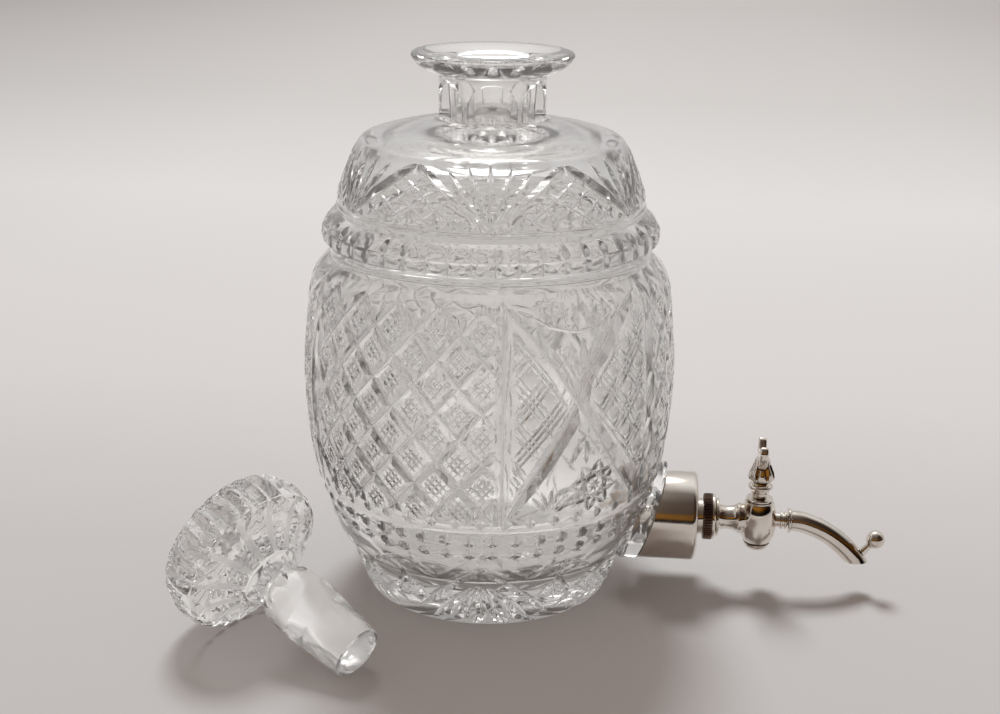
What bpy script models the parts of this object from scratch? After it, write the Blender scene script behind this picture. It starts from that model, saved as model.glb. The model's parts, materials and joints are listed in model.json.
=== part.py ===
"""Cut-glass spirit barrel decanter with a silver-plated tap, its stopper lying beside it.

Metres, +Z up. The origin is the centre of the flat base, on the barrel's axis.
+X points along the tap, away from the glass, and -Y is the front.
The glass is modelled with its true outline; its cut facets are finer than this model.
"""
import math

import bmesh
import bpy
from mathutils import Matrix, Vector

# Barrel
barrel_height = 0.2222
belly_radius = 0.0763
# Each point is (radius as a share of belly_radius, height as a share of barrel_height).
# The cavity runs up from the middle of its floor, and the outside runs up from the base.
cavity_shares = [
    (0.000, 0.0610), (0.440, 0.0640), (0.590, 0.0820), (0.690, 0.1150), (0.763, 0.1620),
    (0.830, 0.2350), (0.877, 0.3400), (0.884, 0.4300), (0.866, 0.5250), (0.820, 0.5950),
    (0.752, 0.6450), (0.735, 0.6900), (0.680, 0.7480), (0.600, 0.7980), (0.510, 0.8230),
    (0.185, 0.8420),
]
foot_shares = [
    (0.679, 0.0000), (0.696, 0.0135), (0.729, 0.0450), (0.777, 0.0900), (0.836, 0.1215),
    (0.880, 0.1640),
]
lower_band_shares = [(0.911, 0.1960), (0.9155, 0.2070), (0.924, 0.2230), (0.950, 0.2400)]
body_shares = [
    (0.965, 0.2700), (0.986, 0.3250), (1.000, 0.4050), (0.996, 0.4650), (0.981, 0.5200),
    (0.962, 0.5750), (0.945, 0.6000), (0.922, 0.6180), (0.886, 0.6310), (0.848, 0.6400),
    (0.848, 0.6510),
]
upper_band_shares = [
    (0.868, 0.6570), (0.888, 0.6750), (0.886, 0.6960), (0.860, 0.7110), (0.818, 0.7220),
    (0.806, 0.7330),
]
shoulder_shares = [
    (0.808, 0.7470), (0.794, 0.7650), (0.756, 0.8000), (0.718, 0.8280), (0.699, 0.8400),
    (0.675, 0.8490), (0.630, 0.8560), (0.540, 0.8645), (0.360, 0.8758), (0.308, 0.8790),
]
dome_top_share = 0.8880
outside_shares = (foot_shares + lower_band_shares + body_shares + upper_band_shares
                  + shoulder_shares)

# Neck, rim and bore
neck_radius = 0.0211
neck_flat_radius = 0.0184
neck_flat_count = 6
neck_flat_shares = (0.9000, 0.9500)
rim_radius = 0.0320
# Each point is (share of the way from neck_radius to rim_radius, share of barrel_height).
rim_shares = [
    (0.00, 0.9560), (0.10, 0.9610), (0.34, 0.9650), (0.60, 0.9700), (0.82, 0.9785),
    (1.00, 0.9920), (0.95, 0.9970), (0.80, 1.0000), (0.30, 1.0000),
]
bore_mouth_radius = 0.0134
bore_throat_radius = 0.0107
bore_shares = (0.8650, 0.9900)

# Main cuts in the belly and the shoulder. A turn is in degrees from the front, towards the tap.
cut_repeats = 3
cut_lift = 0.0012
cut_slice = 0.0195
slope_span_share = 0.0100
split_turns = (-59, 10)
split_shares = (0.2400, 0.6420)
split_width = 0.0064
split_depth = 0.0022
split_run_out = 4
diamond_turns = 13.6
diamond_rise_share = 0.0893
diamond_middle_turn = -9.4
diamond_middle_share = 0.4469
diamond_edge_turns = (-58, 9)
diamond_edge_shares = (0.2490, 0.6280)
diamond_lines = 5
diamond_width = 0.0046
diamond_depth = 0.0015
diamond_run_out = 12
# Each point is (turn, share of barrel_height) on an arm of the X.
cross_shares = [
    [(11.0, 0.2520), (21.5, 0.3510), (32.5, 0.4545), (34.0, 0.5010), (46.2, 0.5870),
     (53.5, 0.6080)],
    [(57.0, 0.2520), (40.0, 0.3870), (32.5, 0.4545), (26.3, 0.5135), (17.4, 0.5830),
     (11.5, 0.6130)],
]
cross_width = 0.0074
cross_depth = 0.0024
cross_run_out = 6
zigzag_count = 6
zigzag_start_turn = 5.6
zigzag_shares = (0.7400, 0.8390)
zigzag_width = 0.0054
zigzag_depth = 0.0018
zigzag_run_out = 8

# Gaps between neighbouring pieces, how far a cutter overruns, and the welding distance
gap = 0.0003
running_gap = 0.0002
overrun = 0.0020
weld = 0.00002

# Glass pad that carries the tap, and the hole through it
tap_height = 0.0297
pad_radius = 0.0208
pad_rise = 0.0018
pad_stand = 0.00385
pad_depth = 0.0082
pad_lean_share = 0.31
tap_hole_radius = 0.0080

# Collar, its bedding and the pipe through them
collar_radius = 0.0188
collar_length = 0.0204
collar_wall = 0.0009
collar_corner = 0.0022
collar_stand_off = 0.0009
pipe_radius = 0.0044
pipe_bore_radius = 0.0024
pipe_reach_in = 0.0046
cork_inset = 0.0015
cork_length = 0.0090

# Union between the collar and the tap
nipple_flange_radius = 0.0077
nipple_flange_length = 0.0021
thread_radius = 0.0064
thread_length = 0.0026
washer_thickness = 0.0006
tail_flange_thickness = 0.0006
tail_radius = 0.0047
union_radius = 0.00975
union_chamfer = 0.0004
union_lip = 0.0005
seat_flange_radius = 0.0083
seat_flange_thickness = 0.0014

# Tap body: a horn, a bulb that holds the plug, and a ringed outlet
horn_length = 0.0089
horn_root_radius = 0.0060
horn_waist_radius = 0.0049
horn_bead_radius = 0.0066
bulb_radius = 0.0077
bulb_top_radius = 0.0061
bulb_foot_radius = 0.0060
bulb_rise = 0.0080
bulb_drop = 0.0092
bulb_cap_radius = 0.0056
bulb_cap_height = 0.0007
outlet_length = 0.0043
outlet_bead_radius = 0.0038
outlet_neck_radius = 0.0030
outlet_ring_radius = 0.00525
outlet_ring_thickness = 0.0013
# Each point is (radius as a share of the radius named beside it, share of the horn's length).
horn_root_shares = [(1.00, 0.00), (0.92, 0.07)]
horn_waist_shares = [(1.03, 0.22), (1.00, 0.42), (1.06, 0.64)]
horn_bead_shares = [(0.90, 0.84), (1.00, 0.90), (1.00, 1.03), (0.92, 1.10)]
# Each point is (share of outlet_bead_radius, share of outlet_length from the bulb).
outlet_bead_shares = [(0.80, 0.28), (1.00, 0.36), (1.00, 0.48), (0.80, 0.56),
                      (0.80, 0.68), (1.00, 0.76), (1.00, 0.88), (0.80, 0.96)]

# Plug of the cock, with its cap, washer and nut
plug_top_radius = 0.0046
plug_foot_radius = 0.0037
port_radius = 0.0021
plug_cap_radius = 0.0056
plug_cap_thickness = 0.0011
plug_tail_radius = 0.0015
plug_tail_length = 0.0020
foot_washer_radius = 0.0056
foot_washer_thickness = 0.0006
nut_radius = 0.0053
nut_height = 0.0027
# Each point is (share of nut_radius, share of nut_height below the nut's top).
nut_shares = [(1.00, 0.00), (1.00, 0.25), (0.93, 0.60), (0.72, 0.90), (0.50, 1.00)]
edge_share = 0.06

# Key: a ringed stem, a bud and two wings
stem_ring_radius = 0.0052
stem_height = 0.0068
# Each point is (share of stem_ring_radius, share of stem_height).
stem_shares = [
    (0.58, 0.00), (0.58, 0.12), (0.71, 0.20), (0.71, 0.32), (0.58, 0.40), (0.58, 0.50),
    (0.93, 0.60), (1.00, 0.68), (1.00, 0.76), (0.93, 0.84), (0.62, 0.90), (0.66, 1.00),
]
bud_radius = 0.0056
bud_height = 0.0100
bud_shares = [(0.64, 0.00), (0.97, 0.14), (1.00, 0.22), (0.93, 0.42), (0.67, 0.75), (0.54, 1.00)]
wing_thickness = 0.0029
wing_reach = 0.0076
wing_height = 0.0106
wing_sink_share = 0.38
wing_round_share = 0.22
# One wing's outline, from the middle of its foot to the bottom of the notch between them:
# each point is (share of wing_reach, share of wing_height).
wing_shares = [(0.40, 0.00), (0.86, 0.42), (1.00, 0.76), (0.74, 1.00), (0.36, 0.68)]
wing_notch_share = 0.52

# Spout, and the ball on its tip
spout_radius = 0.0044
spout_bore_radius = 0.0027
spout_run = 0.0275
spout_drop = 0.0172
spout_mouth_drop = 0.0165
# Each point is (share of spout_run, share of spout_drop) on the spout's centre line.
spout_shares = [(0.00, 0.000), (0.13, 0.010), (0.27, 0.072), (0.49, 0.220), (0.72, 0.465),
                (0.89, 0.720), (1.00, 0.930), (1.20, 1.420)]
mouth_share = 0.5
ball_radius = 0.0039
ball_ahead = 0.0080
ball_above_mouth = 0.0099
stalk_radius = 0.0015
stalk_foot_share = 1.4

# Stopper
stopper_length = 0.0777
stopper_head_radius = 0.0328
# Each point is (share of stopper_head_radius, share of stopper_length from the head's face).
stopper_shares = [
    (0.840, 0.0000), (0.905, 0.0120), (0.962, 0.0520), (0.994, 0.1030), (1.000, 0.1470),
    (0.990, 0.1930), (0.950, 0.2300), (0.900, 0.2420), (0.730, 0.2680), (0.530, 0.3150),
    (0.390, 0.3650), (0.325, 0.4150), (0.318, 0.4600), (0.362, 0.4900), (0.383, 0.5150),
]
stopper_seam_share = 0.6500
stopper_seam_radius = 0.0129
stopper_plug_radius = 0.0127
stopper_tip_radius = 0.0106
stopper_tip_round = 0.0006
stopper_clearance = 0.0053
stopper_bearing_degrees = 209.4
stopper_yaw_degrees = -33.1

# Steps round a turned piece, and round a bent tube
barrel_steps = 41
large_steps = 40
small_steps = 24
tube_resolution = 4
path_resolution = 3

parts = bpy.data.collections.new("decanter_with_tap")
cutters = bpy.data.collections.new("cutters")


def clear_scene():
    for old in list(bpy.data.objects):
        bpy.data.objects.remove(old, do_unlink=True)


def make_material(name, colour, metallic=0.0, roughness=0.4, transmission=0.0):
    material = bpy.data.materials.new(name)
    material.use_nodes = True
    shader = material.node_tree.nodes["Principled BSDF"]
    shader.inputs["Base Color"].default_value = (*colour, 1.0)
    shader.inputs["Metallic"].default_value = metallic
    shader.inputs["Roughness"].default_value = roughness
    shader.inputs["Transmission Weight"].default_value = transmission
    return material


def add_object(name, mesh, material=None):
    """Add a part, or a cutter when it has no material."""
    piece = bpy.data.objects.new(name, mesh)
    if material:
        parts.objects.link(piece)
        mesh.materials.append(material)
    else:
        cutters.objects.link(piece)
        piece.display_type = "WIRE"
        piece.hide_render = True
    return piece


def turned(name, outline, steps, material=None, closed=False):
    """Sweep an outline of (radius, height) points round local Z, its outer side running down."""
    mesh = bpy.data.meshes.new(name)
    points = [(radius, 0, height) for radius, height in outline]
    edges = [(index, index + 1) for index in range(len(points) - 1)]
    if closed:
        edges.append((len(points) - 1, 0))
    mesh.from_pydata(points, edges, [])
    piece = add_object(name, mesh, material)
    screw = piece.modifiers.new("turn", "SCREW")
    screw.steps = steps
    screw.render_steps = steps
    screw.use_merge_vertices = True
    screw.merge_threshold = weld
    screw.use_smooth_shade = True
    return piece


def ring_outline(outer, inner, low, high):
    return [(inner, high), (outer, high), (outer, low), (inner, low)]


def rounded_disc(radius, low, high):
    """The outer side of a disc with its two edges broken, running down."""
    edge = (high - low) * 0.3
    inner = radius * (1 - edge_share)
    return [(inner, high), (radius, high - edge), (radius, low + edge), (inner, low)]


def scaled(shares, radius, start, length):
    """Turn (radius share, length share) points into lengths."""
    return [(share * radius, start + along * length) for share, along in shares]


def mesh_of(bm, name):
    mesh = bpy.data.meshes.new(name)
    bm.to_mesh(mesh)
    bm.free()
    return mesh


def rod(name, radius, length, top_radius=None):
    """A cutter: a rod or cone from its own origin up local Z."""
    bm = bmesh.new()
    bmesh.ops.create_cone(bm, cap_ends=True, segments=small_steps, radius1=radius,
                          radius2=top_radius or radius, depth=length)
    bmesh.ops.translate(bm, vec=(0, 0, length / 2), verts=bm.verts)
    return add_object(name, mesh_of(bm, name))


def block(name, low, high):
    """A cutter: a box between two corners."""
    bm = bmesh.new()
    bmesh.ops.create_cube(bm, size=1)
    bmesh.ops.scale(bm, vec=Vector(high) - Vector(low), verts=bm.verts)
    bmesh.ops.translate(bm, vec=(Vector(high) + Vector(low)) / 2, verts=bm.verts)
    return add_object(name, mesh_of(bm, name))


def cut(piece, cutter, operation="DIFFERENCE"):
    boolean = piece.modifiers.new(cutter.name, "BOOLEAN")
    boolean.operation = operation
    boolean.solver = "EXACT"
    boolean.object = cutter


def lay_along_tap(piece, start_x=0):
    """Lay a piece made about local Z on the tap's axis, so that its Z runs along +X."""
    piece.rotation_euler = (0, math.radians(90), 0)
    piece.location = (start_x, 0, tap_height)
    return piece


def lean(mesh):
    """Slide each point along +X by its height over the tap's axis, to lean with the wall."""
    for vertex in mesh.vertices:
        vertex.co.x += pad_lean_share * (vertex.co.z - tap_height)


def wall_radius(shares, height):
    """The barrel's radius at a height, inside or outside, read from its shares."""
    share = height / barrel_height
    for (radius_a, low), (radius_b, high) in zip(shares, shares[1:]):
        if low <= share <= high:
            part = (share - low) / (high - low)
            return belly_radius * (radius_a + part * (radius_b - radius_a))
    return belly_radius * shares[-1][0]


# Places along the tap's axis, each from the one before
wall_x = wall_radius(foot_shares + lower_band_shares, tap_height)
cavity_x = wall_radius(cavity_shares, tap_height)
pad_face_x = wall_x + pad_stand
collar_front_x = pad_face_x + collar_length
nipple_start_x = collar_front_x + gap
thread_start_x = nipple_start_x + nipple_flange_length
nipple_end_x = thread_start_x + thread_length
washer_start_x = nipple_end_x + gap
tail_start_x = washer_start_x + washer_thickness + gap
neck_start_x = tail_start_x + tail_flange_thickness
union_lip_x = neck_start_x + gap
union_end_x = union_lip_x + union_lip
seat_start_x = union_end_x + gap
seat_end_x = seat_start_x + seat_flange_thickness
bulb_start_x = seat_end_x + horn_length
plug_axis_x = bulb_start_x + bulb_radius
bulb_end_x = plug_axis_x + bulb_radius
outlet_end_x = bulb_end_x + outlet_length
outlet_ring_x = outlet_end_x + gap
spout_start_x = outlet_ring_x + outlet_ring_thickness + gap

# Heights over the tap's axis, along the key's axis
bulb_top = bulb_rise + bulb_cap_height
cap_base = bulb_top + gap
cap_top = cap_base + plug_cap_thickness
stem_base = cap_top + gap
bud_base = stem_base + stem_height + gap
bud_top = bud_base + bud_height
wing_slot_base = bud_top - bud_height * wing_sink_share
wing_base = wing_slot_base + gap
washer_top = -bulb_drop - gap
nut_top = washer_top - foot_washer_thickness - gap
tail_end = -bulb_drop - plug_tail_length


def barrel_outline():
    throat, mouth = bore_shares
    outline = scaled(cavity_shares, belly_radius, 0, barrel_height)
    outline.append((bore_throat_radius, throat * barrel_height))
    outline.append((bore_mouth_radius, mouth * barrel_height))
    flare = rim_radius - neck_radius
    for share, height in reversed(rim_shares):
        outline.append((neck_radius + share * flare, height * barrel_height))
    outline.append((neck_radius, dome_top_share * barrel_height))
    outline += scaled(reversed(outside_shares), belly_radius, 0, barrel_height)
    outline.append((0, 0))
    return outline


def neck_flats():
    """Six slabs, in one mesh, that shave the neck into flat panels."""
    low, high = [share * barrel_height for share in neck_flat_shares]
    bm = bmesh.new()
    for index in range(neck_flat_count):
        slab = bmesh.ops.create_cube(bm, size=1)["verts"]
        bmesh.ops.scale(bm, vec=(neck_radius, neck_radius, high - low), verts=slab)
        middle = (0, -neck_flat_radius - neck_radius / 2, (low + high) / 2)
        bmesh.ops.translate(bm, vec=middle, verts=slab)
        turn = Matrix.Rotation(math.radians(360 * index / neck_flat_count), 3, "Z")
        bmesh.ops.rotate(bm, verts=slab, cent=(0, 0, 0), matrix=turn)
    return add_object("neck_flats", mesh_of(bm, "neck_flats"))


def tap_pad():
    """The round pad of glass that stands out of the wall, with faces that lean with it."""
    bm = bmesh.new()
    bmesh.ops.create_cone(bm, cap_ends=True, segments=large_steps, radius1=pad_radius,
                          radius2=pad_radius, depth=pad_depth)
    turn = Matrix.Rotation(math.radians(90), 3, "Y")
    bmesh.ops.rotate(bm, verts=bm.verts, cent=(0, 0, 0), matrix=turn)
    middle = (pad_face_x - pad_depth / 2, 0, tap_height + pad_rise)
    bmesh.ops.translate(bm, vec=middle, verts=bm.verts)
    mesh = mesh_of(bm, "tap_pad")
    lean(mesh)
    return add_object("tap_pad", mesh)


def on_wall(turn, share):
    """A point on the barrel's wall, and the wall's outward normal there."""
    height = share * barrel_height
    span = slope_span_share * barrel_height
    radius = wall_radius(outside_shares, height)
    above = wall_radius(outside_shares, height + span)
    below = wall_radius(outside_shares, height - span)
    angle = math.radians(turn)
    outward = Vector((math.sin(angle), -math.cos(angle), 0))
    normal = outward - Vector((0, 0, (above - below) / (2 * span)))
    return outward * radius + Vector((0, 0, height)), normal.normalized()


def along_path(path, share):
    """The (turn, share) at a share of the way along a path of such points."""
    place = share * (len(path) - 1)
    index = min(int(place), len(path) - 2)
    part = place - index
    (turn_a, share_a), (turn_b, share_b) = path[index], path[index + 1]
    return turn_a + part * (turn_b - turn_a), share_a + part * (share_b - share_a)


def wheel_cut(path, width, depth, run_out):
    """A V-shaped cutter along a path. It is deepest in its middle and dies out at its ends."""
    length = sum((on_wall(*b)[0] - on_wall(*a)[0]).length for a, b in zip(path, path[1:]))
    slices = max(4, round(length / cut_slice))
    bm = bmesh.new()
    bmesh.ops.create_cone(bm, cap_ends=True, segments=3, radius1=1, radius2=1, depth=1)
    sides = [edge for edge in bm.edges if edge.verts[0].co.z != edge.verts[1].co.z]
    bmesh.ops.subdivide_edges(bm, edges=sides, cuts=slices - 1)
    rows = [on_wall(*along_path(path, index / slices)) for index in range(slices + 1)]
    for vertex in bm.verts:
        index = round((vertex.co.z + 1 / 2) * slices)
        point, normal = rows[index]
        ahead = rows[min(index + 1, slices)][0] - rows[max(index - 1, 0)][0]
        side = ahead.cross(normal).normalized()
        deep = depth * (1 - abs(2 * index / slices - 1) ** run_out)
        if index in (0, slices):
            deep = -cut_lift / 6
        half = width / depth * (deep + cut_lift) / 2
        if abs(vertex.co.x) < 1 / 2:
            vertex.co = point - normal * deep
        else:
            across = math.copysign(half, vertex.co.x)
            vertex.co = point + normal * cut_lift + side * across
    return mesh_of(bm, "wheel_cut")


def cut_family(piece, name, paths, width, depth, run_out):
    """Cut a family of paths, none of which crosses another, into a piece."""
    bm = bmesh.new()
    for path in paths:
        bm.from_mesh(wheel_cut(path, width, depth, run_out))
    bmesh.ops.recalc_face_normals(bm, faces=bm.faces)
    bmesh.ops.triangulate(bm, faces=bm.faces)
    cut(piece, add_object(name, mesh_of(bm, name)))


def repeated(path):
    """The same path in each panel of its kind."""
    turn = 360 / cut_repeats
    return [[(place + turn * index, share) for place, share in path]
            for index in range(cut_repeats)]


def diamond_paths(sign):
    """The parallel lines of the diamonds that slope one way, each clipped to its panel."""
    left, right = diamond_edge_turns
    low, high = diamond_edge_shares
    slope = sign * diamond_rise_share / diamond_turns
    paths = []
    for index in range(-diamond_lines, diamond_lines + 1):
        middle = diamond_middle_share + index * diamond_rise_share
        at_low = diamond_middle_turn + (low - middle) / slope
        at_high = diamond_middle_turn + (high - middle) / slope
        start = max(left, min(at_low, at_high))
        end = min(right, max(at_low, at_high))
        if end - start > diamond_turns / 2:
            line = [(turn, middle + slope * (turn - diamond_middle_turn)) for turn in (start, end)]
            paths += repeated(line)
    return paths


def cut_glass(barrel):
    """Cut the main lines of the pattern: splits, diamonds, the X and the shoulder's zigzag."""
    splits = [path for turn in split_turns
              for path in repeated([(turn, share) for share in split_shares])]
    cut_family(barrel, "splits", splits, split_width, split_depth, split_run_out)
    for name, sign in (("diamonds_up", 1), ("diamonds_down", -1)):
        cut_family(barrel, name, diamond_paths(sign), diamond_width, diamond_depth,
                   diamond_run_out)
    for index, path in enumerate(cross_shares):
        cut_family(barrel, f"cross_{index}", repeated(path), cross_width, cross_depth,
                   cross_run_out)
    low, high = zigzag_shares
    turn = 360 / zigzag_count
    for name, half in (("zigzag_up", turn / 2), ("zigzag_down", -turn / 2)):
        starts = [zigzag_start_turn + turn * index for index in range(zigzag_count)]
        paths = [[(start, low), (start + half, high)] for start in starts]
        cut_family(barrel, name, paths, zigzag_width, zigzag_depth, zigzag_run_out)


def build_barrel(glass):
    barrel = turned("glass_barrel", barrel_outline(), barrel_steps, glass)
    cut(barrel, tap_pad(), "UNION")
    hole_start = cavity_x - pad_radius / 2
    hole_end = pad_face_x + pad_lean_share * pad_radius + overrun
    hole = rod("tap_hole", tap_hole_radius, hole_end - hole_start)
    cut(barrel, lay_along_tap(hole, hole_start))
    cut(barrel, neck_flats())
    cut_glass(barrel)


def behind_pad(name, stand_off):
    """A leaning block that takes away everything nearer the wall than a stand-off."""
    face = pad_face_x + stand_off
    depth = pad_radius * 2
    low = (face - depth, -depth, tap_height - depth)
    high = (face, depth, tap_height + depth)
    cutter = block(name, low, high)
    lean(cutter.data)
    return cutter


def build_collar(silver, plaster, cork):
    back = pad_face_x - pad_lean_share * collar_radius - overrun
    inner_radius = collar_radius - collar_wall
    inner_front = collar_front_x - collar_wall
    inner_corner = collar_corner - collar_wall
    outline = [(pipe_radius + gap, collar_front_x)]
    for angle in (0, 30, 60, 90):
        fall = 1 - math.cos(math.radians(angle))
        draw = 1 - math.sin(math.radians(angle))
        outline.append((collar_radius - collar_corner * draw, collar_front_x - collar_corner * fall))
    outline += [(collar_radius, back), (inner_radius, back),
                (inner_radius, inner_front - inner_corner),
                (inner_radius - inner_corner, inner_front), (pipe_radius + gap, inner_front)]
    collar = lay_along_tap(turned("silver_collar", outline, large_steps, silver, closed=True))
    cut(collar, behind_pad("collar_slant", collar_stand_off))

    bed_radius = inner_radius - gap
    bed_front = inner_front - gap
    bed_outline = [(pipe_radius + gap, bed_front), (bed_radius - inner_corner, bed_front),
                   (bed_radius, bed_front - inner_corner), (bed_radius, back),
                   (pipe_radius + gap, back)]
    bed = lay_along_tap(turned("plaster_bed", bed_outline, large_steps, plaster, closed=True))
    cut(bed, behind_pad("bed_slant", gap))

    pipe = ring_outline(pipe_radius, pipe_bore_radius, cavity_x - pipe_reach_in, collar_front_x)
    lay_along_tap(turned("inlet_pipe", pipe, small_steps, silver, closed=True))
    cork_start = cavity_x + cork_inset
    sleeve = ring_outline(tap_hole_radius - gap, pipe_radius + gap, cork_start,
                          cork_start + cork_length)
    lay_along_tap(turned("cork_sleeve", sleeve, small_steps, cork, closed=True))


def build_union(silver, dark_silver, leather):
    nipple = [(pipe_bore_radius, nipple_end_x), (thread_radius, nipple_end_x),
              (thread_radius, thread_start_x), (nipple_flange_radius, thread_start_x),
              (nipple_flange_radius, nipple_start_x), (pipe_bore_radius, nipple_start_x)]
    lay_along_tap(turned("threaded_nipple", nipple, small_steps, silver, closed=True))
    washer = ring_outline(thread_radius, pipe_bore_radius, washer_start_x,
                          washer_start_x + washer_thickness)
    lay_along_tap(turned("face_washer", washer, small_steps, leather, closed=True))
    inner = thread_radius + gap
    lip = tail_radius + gap
    start = thread_start_x + gap
    union = [(lip, union_end_x), (union_radius - union_chamfer, union_end_x),
             (union_radius, union_end_x - union_chamfer), (union_radius, start + union_chamfer),
             (union_radius - union_chamfer, start), (inner, start), (inner, union_lip_x),
             (lip, union_lip_x)]
    lay_along_tap(turned("union_ring", union, large_steps, dark_silver, closed=True))


def bulb_outline():
    """The bulb, fullest at the tap's axis, from its flat top down to its flat foot."""
    outline = [(0, bulb_top), (bulb_cap_radius, bulb_top), (bulb_cap_radius, bulb_rise)]
    for share in (1, 0.75, 0.5, 0.25, 0):
        radius = bulb_radius - (bulb_radius - bulb_top_radius) * share ** 2
        outline.append((radius, bulb_rise * share))
    for share in (0.35, 0.6, 0.8, 1):
        radius = bulb_radius - (bulb_radius - bulb_foot_radius) * share ** 3
        outline.append((radius, -bulb_drop * share))
    outline.append((0, -bulb_drop))
    return outline


def horn_outline():
    """The tail, the seat flange and the horn, from the bulb's middle back to the union."""
    outline = [(0, plug_axis_x), (horn_waist_radius, plug_axis_x)]
    outline += scaled(reversed(horn_bead_shares), horn_bead_radius, seat_end_x, horn_length)
    outline += scaled(reversed(horn_waist_shares), horn_waist_radius, seat_end_x, horn_length)
    outline += scaled(reversed(horn_root_shares), horn_root_radius, seat_end_x, horn_length)
    outline += rounded_disc(seat_flange_radius, seat_start_x, seat_end_x)
    outline += [(tail_radius, seat_start_x), (tail_radius, neck_start_x),
                (thread_radius, neck_start_x), (thread_radius, tail_start_x), (0, tail_start_x)]
    return outline


def outlet_outline():
    """The ringed outlet, from its end back past the bulb's middle."""
    outline = [(0, outlet_end_x), (outlet_neck_radius, outlet_end_x)]
    outline += scaled(reversed(outlet_bead_shares), outlet_bead_radius, bulb_end_x, outlet_length)
    root = plug_axis_x - outlet_neck_radius
    outline += [(outlet_neck_radius, bulb_end_x), (outlet_neck_radius, root), (0, root)]
    return outline


def build_tap_body(silver):
    body = lay_along_tap(turned("tap_body", horn_outline(), small_steps, silver))
    bulb = turned("bulb", bulb_outline(), small_steps)
    bulb.location = (plug_axis_x, 0, tap_height)
    cut(body, bulb, "UNION")
    cut(body, lay_along_tap(turned("outlet", outlet_outline(), small_steps)), "UNION")
    taper = (plug_top_radius - plug_foot_radius) / (bulb_top + bulb_drop)
    foot = plug_foot_radius + running_gap - taper * overrun
    depth = bulb_top + bulb_drop + overrun * 2
    socket = rod("plug_socket", foot, depth, foot + taper * depth)
    socket.location = (plug_axis_x, 0, tap_height - bulb_drop - overrun)
    bore = rod("tap_bore", port_radius, outlet_end_x - tail_start_x + overrun * 2)
    cut(body, lay_along_tap(bore, tail_start_x - overrun))
    cut(body, socket)


def build_plug(silver, leather, key):
    """The tapered plug, bored across for the flow, with its cap, washer and nut."""
    outline = [(0, cap_top)] + rounded_disc(plug_cap_radius, cap_base, cap_top)
    outline += [(plug_top_radius, cap_base), (plug_top_radius, bulb_top),
                (plug_foot_radius, -bulb_drop), (plug_tail_radius, -bulb_drop),
                (plug_tail_radius, tail_end), (0, tail_end)]
    plug = turned("tap_plug", outline, small_steps, silver)
    plug.parent = key
    port = rod("plug_port", port_radius, plug_cap_radius * 2)
    port.parent = key
    port.rotation_euler = (math.radians(90), 0, 0)
    port.location = (0, plug_cap_radius, 0)
    cut(plug, port)
    washer = ring_outline(foot_washer_radius, plug_tail_radius + gap,
                          washer_top - foot_washer_thickness, washer_top)
    turned("plug_washer", washer, small_steps, leather, closed=True).parent = key
    nut = [(0, tail_end - gap), (plug_tail_radius + gap, tail_end - gap),
           (plug_tail_radius + gap, nut_top)]
    nut += scaled(nut_shares, nut_radius, nut_top, -nut_height)
    nut.append((0, nut_top - nut_height))
    turned("plug_nut", nut, small_steps, silver).parent = key


def build_key(silver, key):
    stem = [(0, stem_base + stem_height)]
    stem += scaled(reversed(stem_shares), stem_ring_radius, stem_base, stem_height)
    stem.append((0, stem_base))
    turned("key_stem", stem, small_steps, silver).parent = key
    bud = [(0, bud_top)] + scaled(reversed(bud_shares), bud_radius, bud_base, bud_height)
    bud.append((0, bud_base))
    key_bud = turned("key_bud", bud, small_steps, silver)
    key_bud.parent = key
    half_slot = wing_thickness / 2 + gap
    slot = block("wing_slot", (-half_slot, -bud_radius, wing_slot_base),
                 (half_slot, bud_radius, bud_top + overrun))
    slot.parent = key
    cut(key_bud, slot)
    build_wings(silver, key)


def build_wings(silver, key):
    """The two-lobed thumb piece, a flat outline that stands across the tap."""
    curve = bpy.data.curves.new("wings_outline", "CURVE")
    curve.dimensions = "2D"
    curve.fill_mode = "BOTH"
    curve.extrude = wing_thickness / 2
    curve.resolution_u = path_resolution
    right = [(share * wing_reach, wing_base + up * wing_height) for share, up in wing_shares]
    notch = (0, wing_base + wing_notch_share * wing_height)
    points = right + [notch] + [(-across, up) for across, up in reversed(right)]
    spline = curve.splines.new("BEZIER")
    spline.bezier_points.add(len(points) - 1)
    for point, (across, up) in zip(spline.bezier_points, points):
        point.co = (across, up, 0)
        handle = "VECTOR" if up == wing_base else "AUTO"
        point.handle_left_type = handle
        point.handle_right_type = handle
    spline.use_cyclic_u = True
    outline = bpy.data.objects.new("wings_outline", curve)
    outline.rotation_euler = (math.radians(90), 0, math.radians(90))
    wings = mesh_from_curve(outline, "key_wings", silver)
    wings.parent = key
    bevel = wings.modifiers.new("round", "BEVEL")
    bevel.width = wing_thickness * wing_round_share
    bevel.segments = 2
    bevel.angle_limit = math.radians(60)


def mesh_from_curve(outline, name, material=None):
    """Make one closed mesh of a curve object, weld its caps and remove the curve."""
    parts.objects.link(outline)
    bpy.context.view_layer.update()
    depsgraph = bpy.context.evaluated_depsgraph_get()
    mesh = bpy.data.meshes.new_from_object(outline.evaluated_get(depsgraph))
    bm = bmesh.new()
    bm.from_mesh(mesh)
    bmesh.ops.remove_doubles(bm, verts=bm.verts, dist=weld)
    bmesh.ops.recalc_face_normals(bm, faces=bm.faces)
    bm.to_mesh(mesh)
    bm.free()
    mesh.shade_smooth()
    mesh.set_sharp_from_angle(angle=math.radians(50))
    piece = add_object(name, mesh, material)
    piece.matrix_world = outline.matrix_world
    bpy.data.objects.remove(outline, do_unlink=True)
    return piece


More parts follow.
